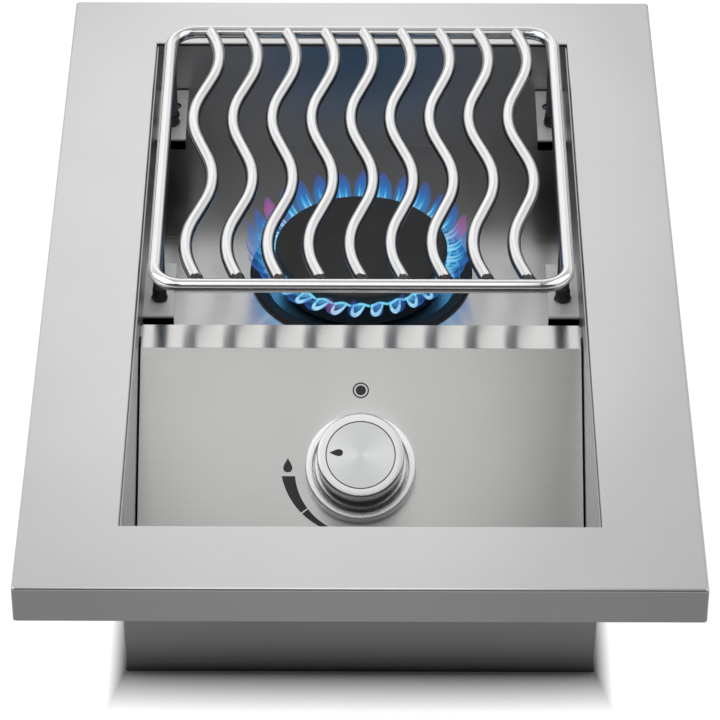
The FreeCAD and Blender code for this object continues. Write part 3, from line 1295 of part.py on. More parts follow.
for item in doc.Objects:
    if "Invalid" in item.State or "Error" in item.State:
        raise RuntimeError("%s did not build" % item.Label)
for item in PARTS:
    if item.Shape.isNull() or not item.Shape.isValid() or not item.Shape.Solids:
        raise RuntimeError("%s has no sound solid" % item.Label)

os.makedirs("parts", exist_ok=True)
for item in PARTS:
    item.Shape.exportStep("parts/%s.step" % item.Label)
    box = item.Shape.BoundBox
    print("%-24s %d solid(s)  X %.1f..%.1f  Y %.1f..%.1f  Z %.1f..%.1f"
          % (item.Label, len(item.Shape.Solids), box.XMin, box.XMax, box.YMin, box.YMax, box.ZMin, box.ZMax))
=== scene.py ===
import json
import math
import random

import bmesh
import bpy
from mathutils import Matrix, Vector, noise


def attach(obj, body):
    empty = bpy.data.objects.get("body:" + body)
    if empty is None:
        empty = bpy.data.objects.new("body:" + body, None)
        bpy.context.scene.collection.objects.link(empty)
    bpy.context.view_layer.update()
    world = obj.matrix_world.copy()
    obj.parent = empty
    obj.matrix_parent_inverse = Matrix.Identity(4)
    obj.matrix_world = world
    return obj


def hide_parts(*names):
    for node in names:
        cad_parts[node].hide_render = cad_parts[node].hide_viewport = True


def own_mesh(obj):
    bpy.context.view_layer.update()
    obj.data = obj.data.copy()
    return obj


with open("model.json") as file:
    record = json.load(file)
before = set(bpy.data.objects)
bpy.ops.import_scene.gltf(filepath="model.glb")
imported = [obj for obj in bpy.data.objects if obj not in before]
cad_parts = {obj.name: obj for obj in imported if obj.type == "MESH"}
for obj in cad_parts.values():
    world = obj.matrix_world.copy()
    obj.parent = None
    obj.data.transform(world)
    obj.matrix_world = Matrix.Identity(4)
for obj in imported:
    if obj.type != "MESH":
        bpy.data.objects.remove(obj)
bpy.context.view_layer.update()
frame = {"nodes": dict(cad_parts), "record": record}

# Drop-in side burner, in metres: +Z up, -Y the front, +X to the right.
MM = 0.001
NODES = frame["nodes"]
random.seed(7)

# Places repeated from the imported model, in mm where MM isn't applied; CHAMBER and HOUSING are in metres
SLOPE = math.radians(36.0)
OUT = Vector((0, -math.sin(SLOPE), math.cos(SLOPE)))
UPHILL = Vector((0, math.cos(SLOPE), math.sin(SLOPE)))
KNOB = Vector((0, -98.9468, 36.9421)) * MM
KNOB_TOP = 30.5
OFF_MARK = 43.75
BURNER = Vector((0, 91.0, 0)) * MM
PORTS = 30
GRATE_MIDDLE = 88.6
GRATE_HALF = 123.65
GRATE_LEVEL = 111.5
LEG_PLACES = [(x, y) for x in (-111.25, 111.25) for y in (12.7, 183.2)]
CHAMBER = ((0.0, 0.1205), (0.0015, 0.2177))
HOUSING = ((0.0, 0.121), (0.0015, 0.219))


# Materials

def new_material(name):
    material = bpy.data.materials.new(name)
    material.use_nodes = True
    tree = material.node_tree
    return material, tree, tree.nodes["Principled BSDF"]


def add(tree, kind, **values):
    node = tree.nodes.new("ShaderNode" + kind)
    for name, value in values.items():
        if name in node.inputs:
            node.inputs[name].default_value = value
        else:
            setattr(node, name, value)
    return node


def place(tree, scale):
    """Object coordinates stretched by a scale, so that a noise turns into grain."""
    source = add(tree, "TexCoord")
    stretch = add(tree, "Mapping", Scale=scale)
    tree.links.new(source.outputs["Object"], stretch.inputs["Vector"])
    return stretch.outputs["Vector"]


def ramp(tree, value, stops):
    node = add(tree, "ValToRGB")
    elements = node.color_ramp.elements
    while len(elements) < len(stops):
        elements.new(0.5)
    for element, (position, colour) in zip(elements, stops):
        element.position = position
        element.color = (*colour, 1) if len(colour) == 3 else colour
    tree.links.new(value, node.inputs["Fac"])
    return node.outputs["Color"]


def grey(level):
    return (level, level, level)


def span(tree, value, low, high, to_low, to_high):
    node = add(tree, "MapRange", clamp=True)
    for name, number in (("From Min", low), ("From Max", high), ("To Min", to_low), ("To Max", to_high)):
        node.inputs[name].default_value = number
    tree.links.new(value, node.inputs["Value"])
    return node.outputs["Result"]


def calc(tree, operation, first, second=0.0):
    """A Math node on two sockets or numbers."""
    node = add(tree, "Math", operation=operation)
    for socket, value in zip(node.inputs, (first, second)):
        if isinstance(value, (int, float)):
            socket.default_value = value
        else:
            tree.links.new(value, socket)
    return node.outputs["Value"]


def axes(tree, vector):
    """The X, Y and Z of a vector socket."""
    split = add(tree, "SeparateXYZ")
    tree.links.new(vector, split.inputs["Vector"])
    return split.outputs


def beyond_box(tree, box, widen=1.0):
    """How far the shaded point lies outside a box seen from above: (centre, half size) in X, then in Y."""
    spot = axes(tree, add(tree, "NewGeometry").outputs["Position"])
    past = []
    for axis, (centre, half) in zip("XY", box):
        aside = calc(tree, "ABSOLUTE", calc(tree, "SUBTRACT", spot[axis], centre))
        past.append(calc(tree, "SUBTRACT", aside, half))
    return calc(tree, "MAXIMUM", calc(tree, "MULTIPLY", past[0], widen), past[1])


def multiply(tree, first, second):
    node = add(tree, "Mix", data_type="RGBA", blend_type="MULTIPLY")
    node.inputs["Factor"].default_value = 1.0
    tree.links.new(first, node.inputs["A"])
    tree.links.new(second, node.inputs["B"])
    return node.outputs["Result"]


def darken(tree, shader, tone):
    """Multiplies the colour that a shader already has."""
    base = shader.inputs["Base Color"].links[0].from_socket
    tree.links.new(multiply(tree, base, tone), shader.inputs["Base Color"])


def metal(name, colour, rough, grain=(2, 900, 900), bite=0.05, spread=0.06, mottle=0.05,
          painted_side_shade=None, painted_flank_shade=None, lean=0.0, lean_over=(1, 0, 0), share=1.0):
    """Steel or brass: fine grain that runs along the smallest scale, with soft mottling.

    The side and flank ramps are painted shade, darkening it by how far a face looks up or aside; lean stretches
    its highlights (along the normal crossed with lean_over), and share is how metallic it is."""
    material, tree, shader = new_material(name)
    shader.inputs["Metallic"].default_value = share
    fine = add(tree, "TexNoise", Scale=1.0, Detail=3.0, Roughness=0.6)
    tree.links.new(place(tree, grain), fine.inputs["Vector"])
    broad = add(tree, "TexNoise", Scale=14.0, Detail=4.0, Roughness=0.55)
    tree.links.new(place(tree, (1, 1, 1)), broad.inputs["Vector"])
    dark = tuple(c * (1 - mottle) for c in colour)
    light = tuple(min(1.0, c * (1 + mottle)) for c in colour)
    base = ramp(tree, broad.outputs["Fac"], [(0.3, dark), (0.7, light)])
    streak = ramp(tree, fine.outputs["Fac"], [(0.3, grey(1 - spread)), (0.7, grey(1.0))])
    base = multiply(tree, base, streak)
    normal = add(tree, "NewGeometry").outputs["True Normal"]
    facing = axes(tree, normal)
    # painted shade: darker where a face looks down or aside
    if painted_side_shade:
        base = multiply(tree, base, ramp(tree, facing["Z"], painted_side_shade))
    if painted_flank_shade:
        base = multiply(tree, base, ramp(tree, calc(tree, "ABSOLUTE", facing["X"]), painted_flank_shade))
    tree.links.new(base, shader.inputs["Base Color"])
    tree.links.new(span(tree, fine.outputs["Fac"], 0.25, 0.75, rough * 0.85, rough * 1.15),
                   shader.inputs["Roughness"])
    bump = add(tree, "Bump", Strength=bite, Distance=0.0004)
    tree.links.new(fine.outputs["Fac"], bump.inputs["Height"])
    tree.links.new(bump.outputs["Normal"], shader.inputs["Normal"])
    if lean:
        shader.inputs["Anisotropic"].default_value = lean
        across = add(tree, "VectorMath", operation="CROSS_PRODUCT")
        across.inputs[1].default_value = lean_over
        tree.links.new(normal, across.inputs[0])
        tree.links.new(across.outputs["Vector"], shader.inputs["Tangent"])
    return material


def coat(name, colour, rough, speck=500.0, bite=0.15, change=0.2, metallic=0.0):
    """Enamel, casting or ceramic: a fine orange-peel bump and a little change of tone."""
    material, tree, shader = new_material(name)
    shader.inputs["Metallic"].default_value = metallic
    fine = add(tree, "TexNoise", Scale=speck, Detail=4.0, Roughness=0.6)
    tree.links.new(place(tree, (1, 1, 1)), fine.inputs["Vector"])
    broad = add(tree, "TexNoise", Scale=30.0, Detail=3.0, Roughness=0.5)
    tree.links.new(place(tree, (1, 1, 1)), broad.inputs["Vector"])
    dark = tuple(c * (1 - change) for c in colour)
    light = tuple(min(1.0, c * (1 + change)) for c in colour)
    tree.links.new(ramp(tree, broad.outputs["Fac"], [(0.3, dark), (0.7, light)]), shader.inputs["Base Color"])
    tree.links.new(span(tree, fine.outputs["Fac"], 0.3, 0.7, rough * 0.85, min(1.0, rough * 1.15)),
                   shader.inputs["Roughness"])
    bump = add(tree, "Bump", Strength=bite, Distance=0.0005)
    tree.links.new(fine.outputs["Fac"], bump.inputs["Height"])
    tree.links.new(bump.outputs["Normal"], shader.inputs["Normal"])
    return material


def round_grain(name, colour, rough, centre, bite=0.02):
    """A disc turned on a lathe: grain in circles about the knob's axis."""
    material, tree, shader = new_material(name)
    shader.inputs["Metallic"].default_value = 1.0
    source = add(tree, "TexCoord")
    shift = add(tree, "Mapping", vector_type="POINT", Location=-centre)
    tree.links.new(source.outputs["Object"], shift.inputs["Vector"])
    length = add(tree, "VectorMath", operation="LENGTH")
    tree.links.new(shift.outputs["Vector"], length.inputs[0])
    rings = add(tree, "TexNoise", noise_dimensions="1D", Scale=1500.0, Detail=4.0)
    tree.links.new(length.outputs["Value"], rings.inputs["W"])
    dark = tuple(c * 0.98 for c in colour)
    tree.links.new(ramp(tree, rings.outputs["Fac"], [(0.3, dark), (0.7, colour)]), shader.inputs["Base Color"])
    tree.links.new(span(tree, rings.outputs["Fac"], 0.3, 0.7, rough * 0.95, rough * 1.05),
                   shader.inputs["Roughness"])
    bump = add(tree, "Bump", Strength=bite, Distance=0.0003)
    tree.links.new(rings.outputs["Fac"], bump.inputs["Height"])
    tree.links.new(bump.outputs["Normal"], shader.inputs["Normal"])
    shader.inputs["Anisotropic"].default_value = 0.6
    tree.links.new(shift.outputs["Vector"], shader.inputs["Tangent"])
    return material


def ink(name):
    """Black screen print with a faint speckle."""
    material, tree, shader = new_material(name)
    shader.inputs["Roughness"].default_value = 0.42
    speckle = add(tree, "TexNoise", Scale=900.0, Detail=3.0)
    tree.links.new(place(tree, (1, 1, 1)), speckle.inputs["Vector"])
    tree.links.new(ramp(tree, speckle.outputs["Fac"], [(0.3, grey(0.008)), (0.7, grey(0.014))]),
                   shader.inputs["Base Color"])
    return material


def shaded_two_tone(name, inside, outside, rough):
    """The housing's steel: mill finish outside, darkened further there as painted shade; lighter where the fire
    pan's walls show.
    """
    material = metal(name, inside, rough, grain=(5, 900, 900), mottle=0.03)
    tree = material.node_tree
    shader = tree.nodes["Principled BSDF"]
    # painted shade on the housing's outer faces, on top of their darker finish
    outer = calc(tree, "GREATER_THAN", beyond_box(tree, CHAMBER), 0.0)
    ratio = tuple(o / i for o, i in zip(outside, inside))
    darken(tree, shader, ramp(tree, outer, [(0.4, grey(1.0)), (0.6, ratio)]))
    return material


def painted_falloff(material, location, scale, stops):
    """Painted shade: a finish that darkens away from a place, by a ramp over the mapped position's length, 0.5
    to 1.5.
    """
    tree = material.node_tree
    source = add(tree, "NewGeometry")
    spot = add(tree, "Mapping", Location=location, Scale=scale)
    tree.links.new(source.outputs["Position"], spot.inputs["Vector"])
    far = add(tree, "VectorMath", operation="LENGTH")
    tree.links.new(spot.outputs["Vector"], far.inputs[0])
    reach = span(tree, far.outputs["Value"], 0.5, 1.5, 0, 1)
    darken(tree, tree.nodes["Principled BSDF"], ramp(tree, reach, [(t, grey(v)) for t, v in stops]))
    return material


def panel_metal(name, colour):
    """The panel's brushed steel: glossier on the level ledge, where the grate is mirrored, and darker towards
    the fascia's bottom and sides, painted shade.
    """
    material = metal(name, colour, 0.3, grain=(6, 1600, 1600), bite=0.03, spread=0.03, mottle=0.02, lean=0.9)
    tree = material.node_tree
    facing = axes(tree, add(tree, "NewGeometry").outputs["True Normal"])
    tree.links.new(span(tree, facing["Z"], 0.86, 0.97, 0.4, 0.2),
                   tree.nodes["Principled BSDF"].inputs["Roughness"])
    return painted_falloff(material, (0, 0, -1.17), (8.3, 0, 16.7), ((0.3, 1.0), (0.5, 0.95), (0.78, 0.82)))


STEEL = (0.8, 0.8, 0.795)
ROD_FLANK_SHADE = [(0.64, grey(1.0)), (0.8, grey(0.4))]
LOOKS = {
    # trim: faces that look aside, the lip's front among them, darkened as painted shade; also darker towards the
    # outer corners, painted shade
    "trim_steel": painted_falloff(metal("trim_steel", STEEL, 0.3, grain=(6, 1400, 1400), spread=0.03, mottle=0.02,
                              painted_side_shade=[(0.1, grey(0.265)), (0.6, grey(1.0))]), (0.13, -0.15, 0), (5.6, 3.33, 0),
                        ((0, 1.0), (0.3, 0.96), (0.5, 0.9), (0.68, 0.82), (1, 0.77))),
    "housing_steel": shaded_two_tone("housing_steel", (0.5, 0.5, 0.5), (0.135, 0.135, 0.138), 0.34),
    # pan: darker towards the rear, painted shade
    "pan_steel": painted_falloff(metal("pan_steel", (0.77, 0.77, 0.77), 0.24, grain=(5, 1100, 1100), bite=0.02,
                             spread=0.02, mottle=0.03), (0, -0.14, 0), (0, 7.0, 0),
                       ((0.1, 1.0), (0.35, 0.75), (1, 0.65))),
    "panel_steel": panel_metal("panel_steel", (0.83, 0.822, 0.81)),
    "screw_steel": metal("screw_steel", (0.6, 0.6, 0.6), 0.35, grain=(300, 300, 300)),
    # rods: painted shade on their undersides and painted dark reflections on their flanks
    "rod_steel": metal("rod_steel", (0.97, 0.97, 0.97), 0.12, grain=(500, 40, 500), bite=0.02, mottle=0.02,
                       painted_flank_shade=ROD_FLANK_SHADE, painted_side_shade=[(0.0, grey(0.65)), (0.3, grey(1.0))]),
    # shelves: mostly matte near-white, a painted reflection of the bright sky; down-turned faces darkened as
    # painted shade
    "shelf_steel": metal("shelf_steel", (0.99, 0.99, 0.99), 0.4, grain=(900, 5, 900), share=0.2,
                         spread=0.02, mottle=0.02, painted_side_shade=[(0.1, grey(0.08)), (0.6, grey(1.0))],
                         lean=0.8, lean_over=(0, 1, 0)),
    "ring_enamel": coat("ring_enamel", (0.009, 0.009, 0.011), 0.5),
    # bowl: its teal tint is painted light from the flames
    "bowl_steel": metal("bowl_steel", (0.4, 0.6, 0.66), 0.3, grain=(300, 300, 300)),
    "burner_alloy": coat("burner_alloy", (0.5, 0.5, 0.5), 0.5, metallic=1.0),
    "head_iron": coat("head_iron", (0.03, 0.03, 0.034), 0.6, metallic=0.3),
    "cap_enamel": coat("cap_enamel", (0.034, 0.034, 0.035), 0.62, speck=900.0, bite=0.1),
    "ceramic_white": coat("ceramic_white", (0.85, 0.84, 0.8), 0.25, bite=0.03, change=0.03),
    "wire_steel": metal("wire_steel", (0.5, 0.5, 0.5), 0.3, grain=(400, 400, 20)),
    "tube_steel": metal("tube_steel", (0.6, 0.6, 0.6), 0.35, grain=(900, 5, 900)),
    "valve_brass": metal("valve_brass", (0.72, 0.54, 0.25), 0.25, grain=(600, 600, 600)),
    "valve_alloy": coat("valve_alloy", (0.6, 0.6, 0.6), 0.45, metallic=1.0),
    "stem_steel": metal("stem_steel", (0.6, 0.6, 0.6), 0.25, grain=(500, 500, 500)),
    "knob_chrome": metal("knob_chrome", (0.68, 0.68, 0.68), 0.2, grain=(500, 500, 500), bite=0.01, spread=0.02,
                         mottle=0.02),
    "face_steel": round_grain("face_steel", (0.64, 0.647, 0.653), 0.32, KNOB + OUT * KNOB_TOP * MM),
    "pipe_alloy": metal("pipe_alloy", (0.68, 0.69, 0.7), 0.3, grain=(300, 300, 300)),
}
RING_SATIN = metal("ring_satin", grey(0.97), 0.3, grain=(500, 500, 500), bite=0.0, spread=0.01, mottle=0.01,
                   share=0.7)
LEG = metal("leg_steel", (0.13, 0.13, 0.13), 0.35, grain=(500, 500, 40), mottle=0.3, bite=0.2)
for entry in frame["record"]["subparts"]:
    node = NODES[entry["node"]]
    node.data.materials.clear()
    finish = LOOKS[entry["material_slot"]]
    if entry["node"].startswith("grate_leg"):
        finish = LEG
    node.data.materials.append(finish)

INK = ink("panel_ink")
WELD = coat("weld_bead", (0.05, 0.048, 0.047), 0.3, speck=900.0, bite=0.5, change=0.7, metallic=0.7)


# Building helpers

def put(name, mesh, material, body, smooth=True):
    piece = bpy.data.objects.new(name, mesh)
    bpy.context.scene.collection.objects.link(piece)
    mesh.materials.append(material)
    for face in mesh.polygons:
        face.use_smooth = smooth
    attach(piece, body)
    return piece


def mesh_of(name, build):
    sheet = bmesh.new()
    build(sheet)
    bmesh.ops.recalc_face_normals(sheet, faces=sheet.faces)
    mesh = bpy.data.meshes.new(name)
    sheet.to_mesh(mesh)
    sheet.free()
    return mesh


def slab(sheet, outline, place_of, low, high):
    """A thin solid from a closed outline of (u, v) points, between two heights above a plane."""
    rings = [[sheet.verts.new(place_of(u, v, h)) for u, v in outline] for h in (low, high)]
    count = len(outline)
    sheet.faces.new(rings[1])
    sheet.faces.new(list(reversed(rings[0])))
    for i in range(count):
        j = (i + 1) % count
        sheet.faces.new((rings[0][i], rings[0][j], rings[1][j], rings[1][i]))


def band(sheet, inner, outer, place_of, low, high, closed=True):
    """A thin solid between two point rows of equal length."""
    rows = [[sheet.verts.new(place_of(u, v, h)) for u, v in row]
            for row in (inner, outer) for h in (low, high)]
    in_low, in_high, out_low, out_high = rows
    count = len(inner)
    for i in range(count if closed else count - 1):
        j = (i + 1) % count
        sheet.faces.new((in_high[i], out_high[i], out_high[j], in_high[j]))
        sheet.faces.new((in_low[i], in_low[j], out_low[j], out_low[i]))
        sheet.faces.new((in_low[i], in_high[i], in_high[j], in_low[j]))
        sheet.faces.new((out_low[i], out_low[j], out_high[j], out_high[i]))
    if not closed:
        for i in (0, count - 1):
            sheet.faces.new((in_low[i], out_low[i], out_high[i], in_high[i]))


def skin(sheet, rings):
    """Faces from each closed ring of points to the next, with both ends left open."""
    for near, far in zip(rings, rings[1:]):
        for i in range(len(near)):
            j = (i + 1) % len(near)
            sheet.faces.new((near[i], near[j], far[j], far[i]))


def ring_points(radius, count=64, u=0.0, v=0.0):
    return [(u + radius * math.cos(math.tau * i / count), v + radius * math.sin(math.tau * i / count))
            for i in range(count)]


def on_fascia(u, v, h):
    """A point of the fascia: u to the right of the knob's axis, v up the slope, h above it, in mm."""
    return KNOB + (Vector((u, 0, 0)) + UPHILL * v + OUT * h) * MM


def drop(width, height, u, v, turn=0.0, count=40):
    """A plain pointed drop, its tip up at turn 0."""
    points = []
    for i in range(count):
        a = math.tau * i / count
        x = width / 2 * math.sin(a) * math.sin(a / 2) ** 1.6 * 1.25
        y = height / 2 * math.cos(a)
        points.append((u + x * math.cos(turn) - y * math.sin(turn),
                       v + x * math.sin(turn) + y * math.cos(turn)))
    return points


# Printed marks on the fascia: off dot, drop for high, tapering sweep towards low

def printed_marks(sheet):
    low, high = 0.02, 0.07
    slab(sheet, ring_points(2.75, 48, 0, OFF_MARK), on_fascia, low, high)
    band(sheet, ring_points(3.65, 64, 0, OFF_MARK), ring_points(4.4, 64, 0, OFF_MARK), on_fascia, low, high)
    slab(sheet, drop(5.6, 8.0, -38.9, 2.2), on_fascia, low, high)
    for start, stop in ((-174.2, -142.9), (-141.7, -100.0)):
        steps = 40
        inner, outer = [], []
        for i in range(steps + 1):
            angle = start + (stop - start) * i / steps
            share = (angle + 174.2) / 78.2
            far, near = 42.3 - 6.2 * min(1.0, share * 1.05), 35.2 + 0.6 * min(1.0, share * 1.4)
            for row, radius in ((inner, near), (outer, max(far, near + 0.6))):
                level = radius * math.sin(math.radians(angle))
                if start < -150 and i == 0:
                    level = -3.9
                row.append((-math.sqrt(radius ** 2 - level ** 2), level))
        band(sheet, inner, outer, on_fascia, low, high, closed=False)


put("printed_marks", mesh_of("printed_marks", printed_marks), INK, "housing", smooth=False)


# The knob's pointer mark and the fine groove line round its face

def on_face(u, v, h):
    return on_fascia(u, v, KNOB_TOP + h)


def pointer_mark(sheet):
    slab(sheet, drop(4.4, 7.4, -13.0, 1.2, turn=math.pi / 2), on_face, 0.01, 0.05)


def face_line(sheet):
    band(sheet, ring_points(18.25, 96), ring_points(18.5, 96), on_face, -0.3, 0.02)


put("pointer_mark", mesh_of("pointer_mark", pointer_mark), INK, "knob", smooth=False)
put("face_line", mesh_of("face_line", face_line), coat("groove_shade", grey(0.1), 0.5), "knob", smooth=False)


# The knob and the ring round it, turned to finer profiles than the solids they stand for

def turned(sheet, profile, count=120):
    """A solid of revolution about the knob's axis from a closed row of (radius, height) points."""
    rings = []
    for radius, height in profile:
        rings.append([sheet.verts.new(on_fascia(u, v, height)) for u, v in ring_points(radius, count)])
    skin(sheet, rings + rings[:1])


def turned_piece(name, profile, finish, body, node=None):
    piece = put(name, mesh_of(name, lambda sheet: turned(sheet, profile)), finish, body)
    piece.data.set_sharp_from_angle(angle=math.radians(28))
    if node:
        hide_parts(node)


turned_piece("knob_ring_turned", (
    (6.0, 0.0), (29.5, 0.0), (29.7, 0.3), (29.65, 5.6), (29.58, 6.5), (29.4, 7.2), (29.1, 7.65), (28.8, 7.85),
    (28.4, 7.9), (26.1, 7.9), (25.85, 7.85), (25.72, 7.7), (25.7, 7.4), (25.7, 1.2), (6.0, 1.2)),
    RING_SATIN, "housing", "knob_ring")
turned_piece("knob_turned", (
    (3.05, 8.0), (6.2, 8.0), (6.2, 26.9), (19.2, 26.9), (19.2, 6.8), (24.0, 6.8), (24.25, 6.95), (24.3, 7.3),
    (24.3, 8.2), (24.2, 8.55), (23.9, 8.75), (23.5, 8.8), (21.7, 8.8), (21.5, 9.0), (21.2, 18.9), (21.4, 19.1),
    (22.6, 19.5), (22.95, 19.75), (23.1, 20.1), (23.1, 29.2), (23.0, 29.8), (22.75, 30.2), (22.4, 30.42),
    (22.0, 30.5), (18.52, 30.5), (18.45, 30.42), (18.45, 29.1), (3.05, 29.1)),
    LOOKS["knob_chrome"], "knob", "knob_body")
# painted shade: a dark sleeve over the knob's waist, in the recess under its rim
turned_piece("knob_recess_shade", ((21.0, 9.2), (21.62, 9.2), (21.36, 18.7), (21.0, 18.7)),
             coat("recess_shade", (0.03, 0.03, 0.031), 0.45), "knob")


# The return spring: the solid's own coil, copied and carried by the plug

coil = NODES["valve_spring"].data.copy()
coil.materials.clear()
spring = put("return_spring", coil, LOOKS["wire_steel"], "plug")
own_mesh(spring)
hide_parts("valve_spring")


# Dark weld collars where the front ends of the wave rods meet the outer rod

def collar(sheet, number):
    """A rough tapering sleeve of burnt weld metal round a wave rod's front end."""
    around, rows = 28, []
    steps = ((-34.4, 3.0), (-33.8, 4.0), (-32.6, 4.2), (-31.4, 4.1), (-30.6, 4.0), (-29.9, 3.95), (-29.2, 3.85),
             (-28.6, 3.3))
    for y, radius in steps:
        row = []
        for i in range(around):
            a = math.tau * i / around
            rough = noise.noise(Vector((number * 3.1, a * 2.4, y * 0.9)))
            fine = noise.noise(Vector((number * 5.7, a * 6.0, y * 2.6)))
            r = max(3.74, radius + 0.5 * rough + 0.4 * fine) if radius > 3.6 else radius
            along = y + 1.8 * rough * (y > -31)
            centre = Vector((bar_place(number, along), along, GRATE_LEVEL))
            rise = min(3.77, r * math.sin(a))
            row.append(sheet.verts.new((centre + Vector((r * math.cos(a), 0, rise))) * MM))
        rows.append(row)
    skin(sheet, rows)
    sheet.faces.new(rows[0])
    sheet.faces.new(list(reversed(rows[-1])))


def foot(sheet, x, y, seed):
    """A dark lumpy weld round the bottom end of a leg."""
    around, rows = 28, []
    steps = ((66.6, 3.0), (66.9, 4.3), (68.0, 4.5), (69.6, 4.1), (71.5, 3.9), (73.5, 3.8), (74.6, 3.3))
    for z, radius in steps:
        row = []
        for i in range(around):
            a = math.tau * i / around
            rough = noise.noise(Vector((seed * 2.3, a * 2.2, z * 0.6)))
            fine = noise.noise(Vector((seed * 4.1, a * 5.0, z * 1.7)))
            r = max(3.45, radius + 0.9 * rough + 0.5 * fine) if radius > 3.4 else radius
            lift = z + 1.5 * rough * (z > 70)
            row.append(sheet.verts.new(Vector((x + r * math.cos(a), y + r * math.sin(a), lift)) * MM))
        rows.append(row)
    skin(sheet, rows)
    sheet.faces.new(rows[0])
    sheet.faces.new(list(reversed(rows[-1])))


def bar_place(number, y):
    """X of the middle line of a wave rod's front run at a level of Y."""
    slant, first, run = math.tan(math.radians(18.2)), 29.3, 60.2
    last_bend = GRATE_MIDDLE + GRATE_HALF - first - 3 * run
    return 22.3 * (number - 5) - slant * (run / 2 - (last_bend - y))


def grate_welds(sheet):
    for number in range(1, 10):
        collar(sheet, number)
    for x, y in LEG_PLACES:
        foot(sheet, x, y, x + y)


put("grate_welds", mesh_of("grate_welds", grate_welds), WELD, "grate")


# Flames: for each port a clear petal of burning gas, bright streaks in it and a piece of the root ring

def flame_material():
    material, tree, shader = new_material("flame_gas")
    shader.inputs["Base Color"].default_value = (0, 0, 0, 1)
    shader.inputs["Specular IOR Level"].default_value = 0.0
    shader.inputs["Roughness"].default_value = 1.0
    tone = add(tree, "Attribute", attribute_name="tone")
    clear = add(tree, "Attribute", attribute_name="clear")
    blush = add(tree, "Attribute", attribute_name="blush")
    glow = ramp(tree, tone.outputs["Fac"], [(0.0, (0.1, 0.08, 0.42)), (0.25, (0.03, 0.15, 0.52)),
                                            (0.5, (0.03, 0.33, 0.7)), (0.75, (0.12, 0.62, 0.92)),
                                            (1.0, (0.5, 0.85, 1.0))])
    mixed = add(tree, "Mix", data_type="RGBA")
    mixed.inputs["B"].default_value = (0.52, 0.1, 0.4, 1)
    tree.links.new(blush.outputs["Fac"], mixed.inputs["Factor"])
    tree.links.new(glow, mixed.inputs["A"])
    wisps = add(tree, "TexNoise", Scale=260.0, Detail=2.0)
    tree.links.new(place(tree, (1, 1, 1)), wisps.inputs["Vector"])
    thin = calc(tree, "MULTIPLY", clear.outputs["Fac"], span(tree, wisps.outputs["Fac"], 0.3, 0.7, 0.75, 1.1))
    shader.inputs["Emission Strength"].default_value = 1.0
    tree.links.new(mixed.outputs["Result"], shader.inputs["Emission Color"])
    tree.links.new(thin, shader.inputs["Alpha"])
    return material


FLAME = flame_material()
ROOT = 45.5
ROOT_LEVEL = 38
REACH = 17.1
BLUSHING = {1: 0.85, 12: 0.9, 21: 0.7}
# Rows of a petal: radius, level, width, tone, clearness, blush
MANTLE = ((45.5, 38.3, 2.2, 0.45, 0.65, 0), (50.0, 37.9, 4.2, 0.42, 0.6, 0),
          (55.0, 39.2, 5.0, 0.38, 0.58, 0.1), (58.8, 43.4, 5.2, 0.33, 0.56, 0.45),
          (60.8, 48.5, 4.5, 0.27, 0.48, 1.0), (62.0, 53.0, 2.6, 0.2, 0.34, 0.8),
          (62.6, 57.0, 0.4, 0.04, 0.15, 0.4))


def sweep(mesh, marks, rows, around=10, fade=0.0):
    """A closed tube of rings; each row is centre, side and up vectors, tone, clearness and blush."""
    rings = []
    for centre, side, up, *values in rows:
        ring = []
        for m in range(around):
            a = math.tau * m / around
            vertex = mesh.verts.new((centre + side * math.cos(a) + up * math.sin(a)) * MM)
            for layer, value in zip(marks, values):
                vertex[layer] = value
            vertex[marks[1]] *= 1 - fade * abs(math.cos(a)) ** 2.5
            ring.append(vertex)
        rings.append(ring)
    skin(mesh, rings)
    mesh.faces.new(list(reversed(rings[0])))
    mesh.faces.new(rings[-1])


def swirl(angle, r):
    """The gas leaves its port a little clockwise, more so at the front."""
    return math.radians(-2.25 + 1.45 * math.sin(angle)) * min(1.0, (r - ROOT) / 10.0)


def gas_point(angle, r, across, z):
    bearing = angle + swirl(angle, r)
    radial = Vector((math.cos(bearing), math.sin(bearing), 0))
    side = Vector((-radial.y, radial.x, 0))
    return BURNER / MM + radial * r + side * across + Vector((0, 0, z)), radial, side


def tube_rows(points, radii, marks):
    """Rows of a round tube along points."""
    rows = []
    for k, point in enumerate(points):
        along = (points[min(k + 1, len(points) - 1)] - points[max(k - 1, 0)]).normalized()
        side = along.cross(Vector((0, 0, 1)))
        side = side.normalized() if side.length > 0.05 else Vector((1, 0, 0))
        rows.append((point, side * radii[k], side.cross(along) * radii[k], *marks[k]))
    return rows


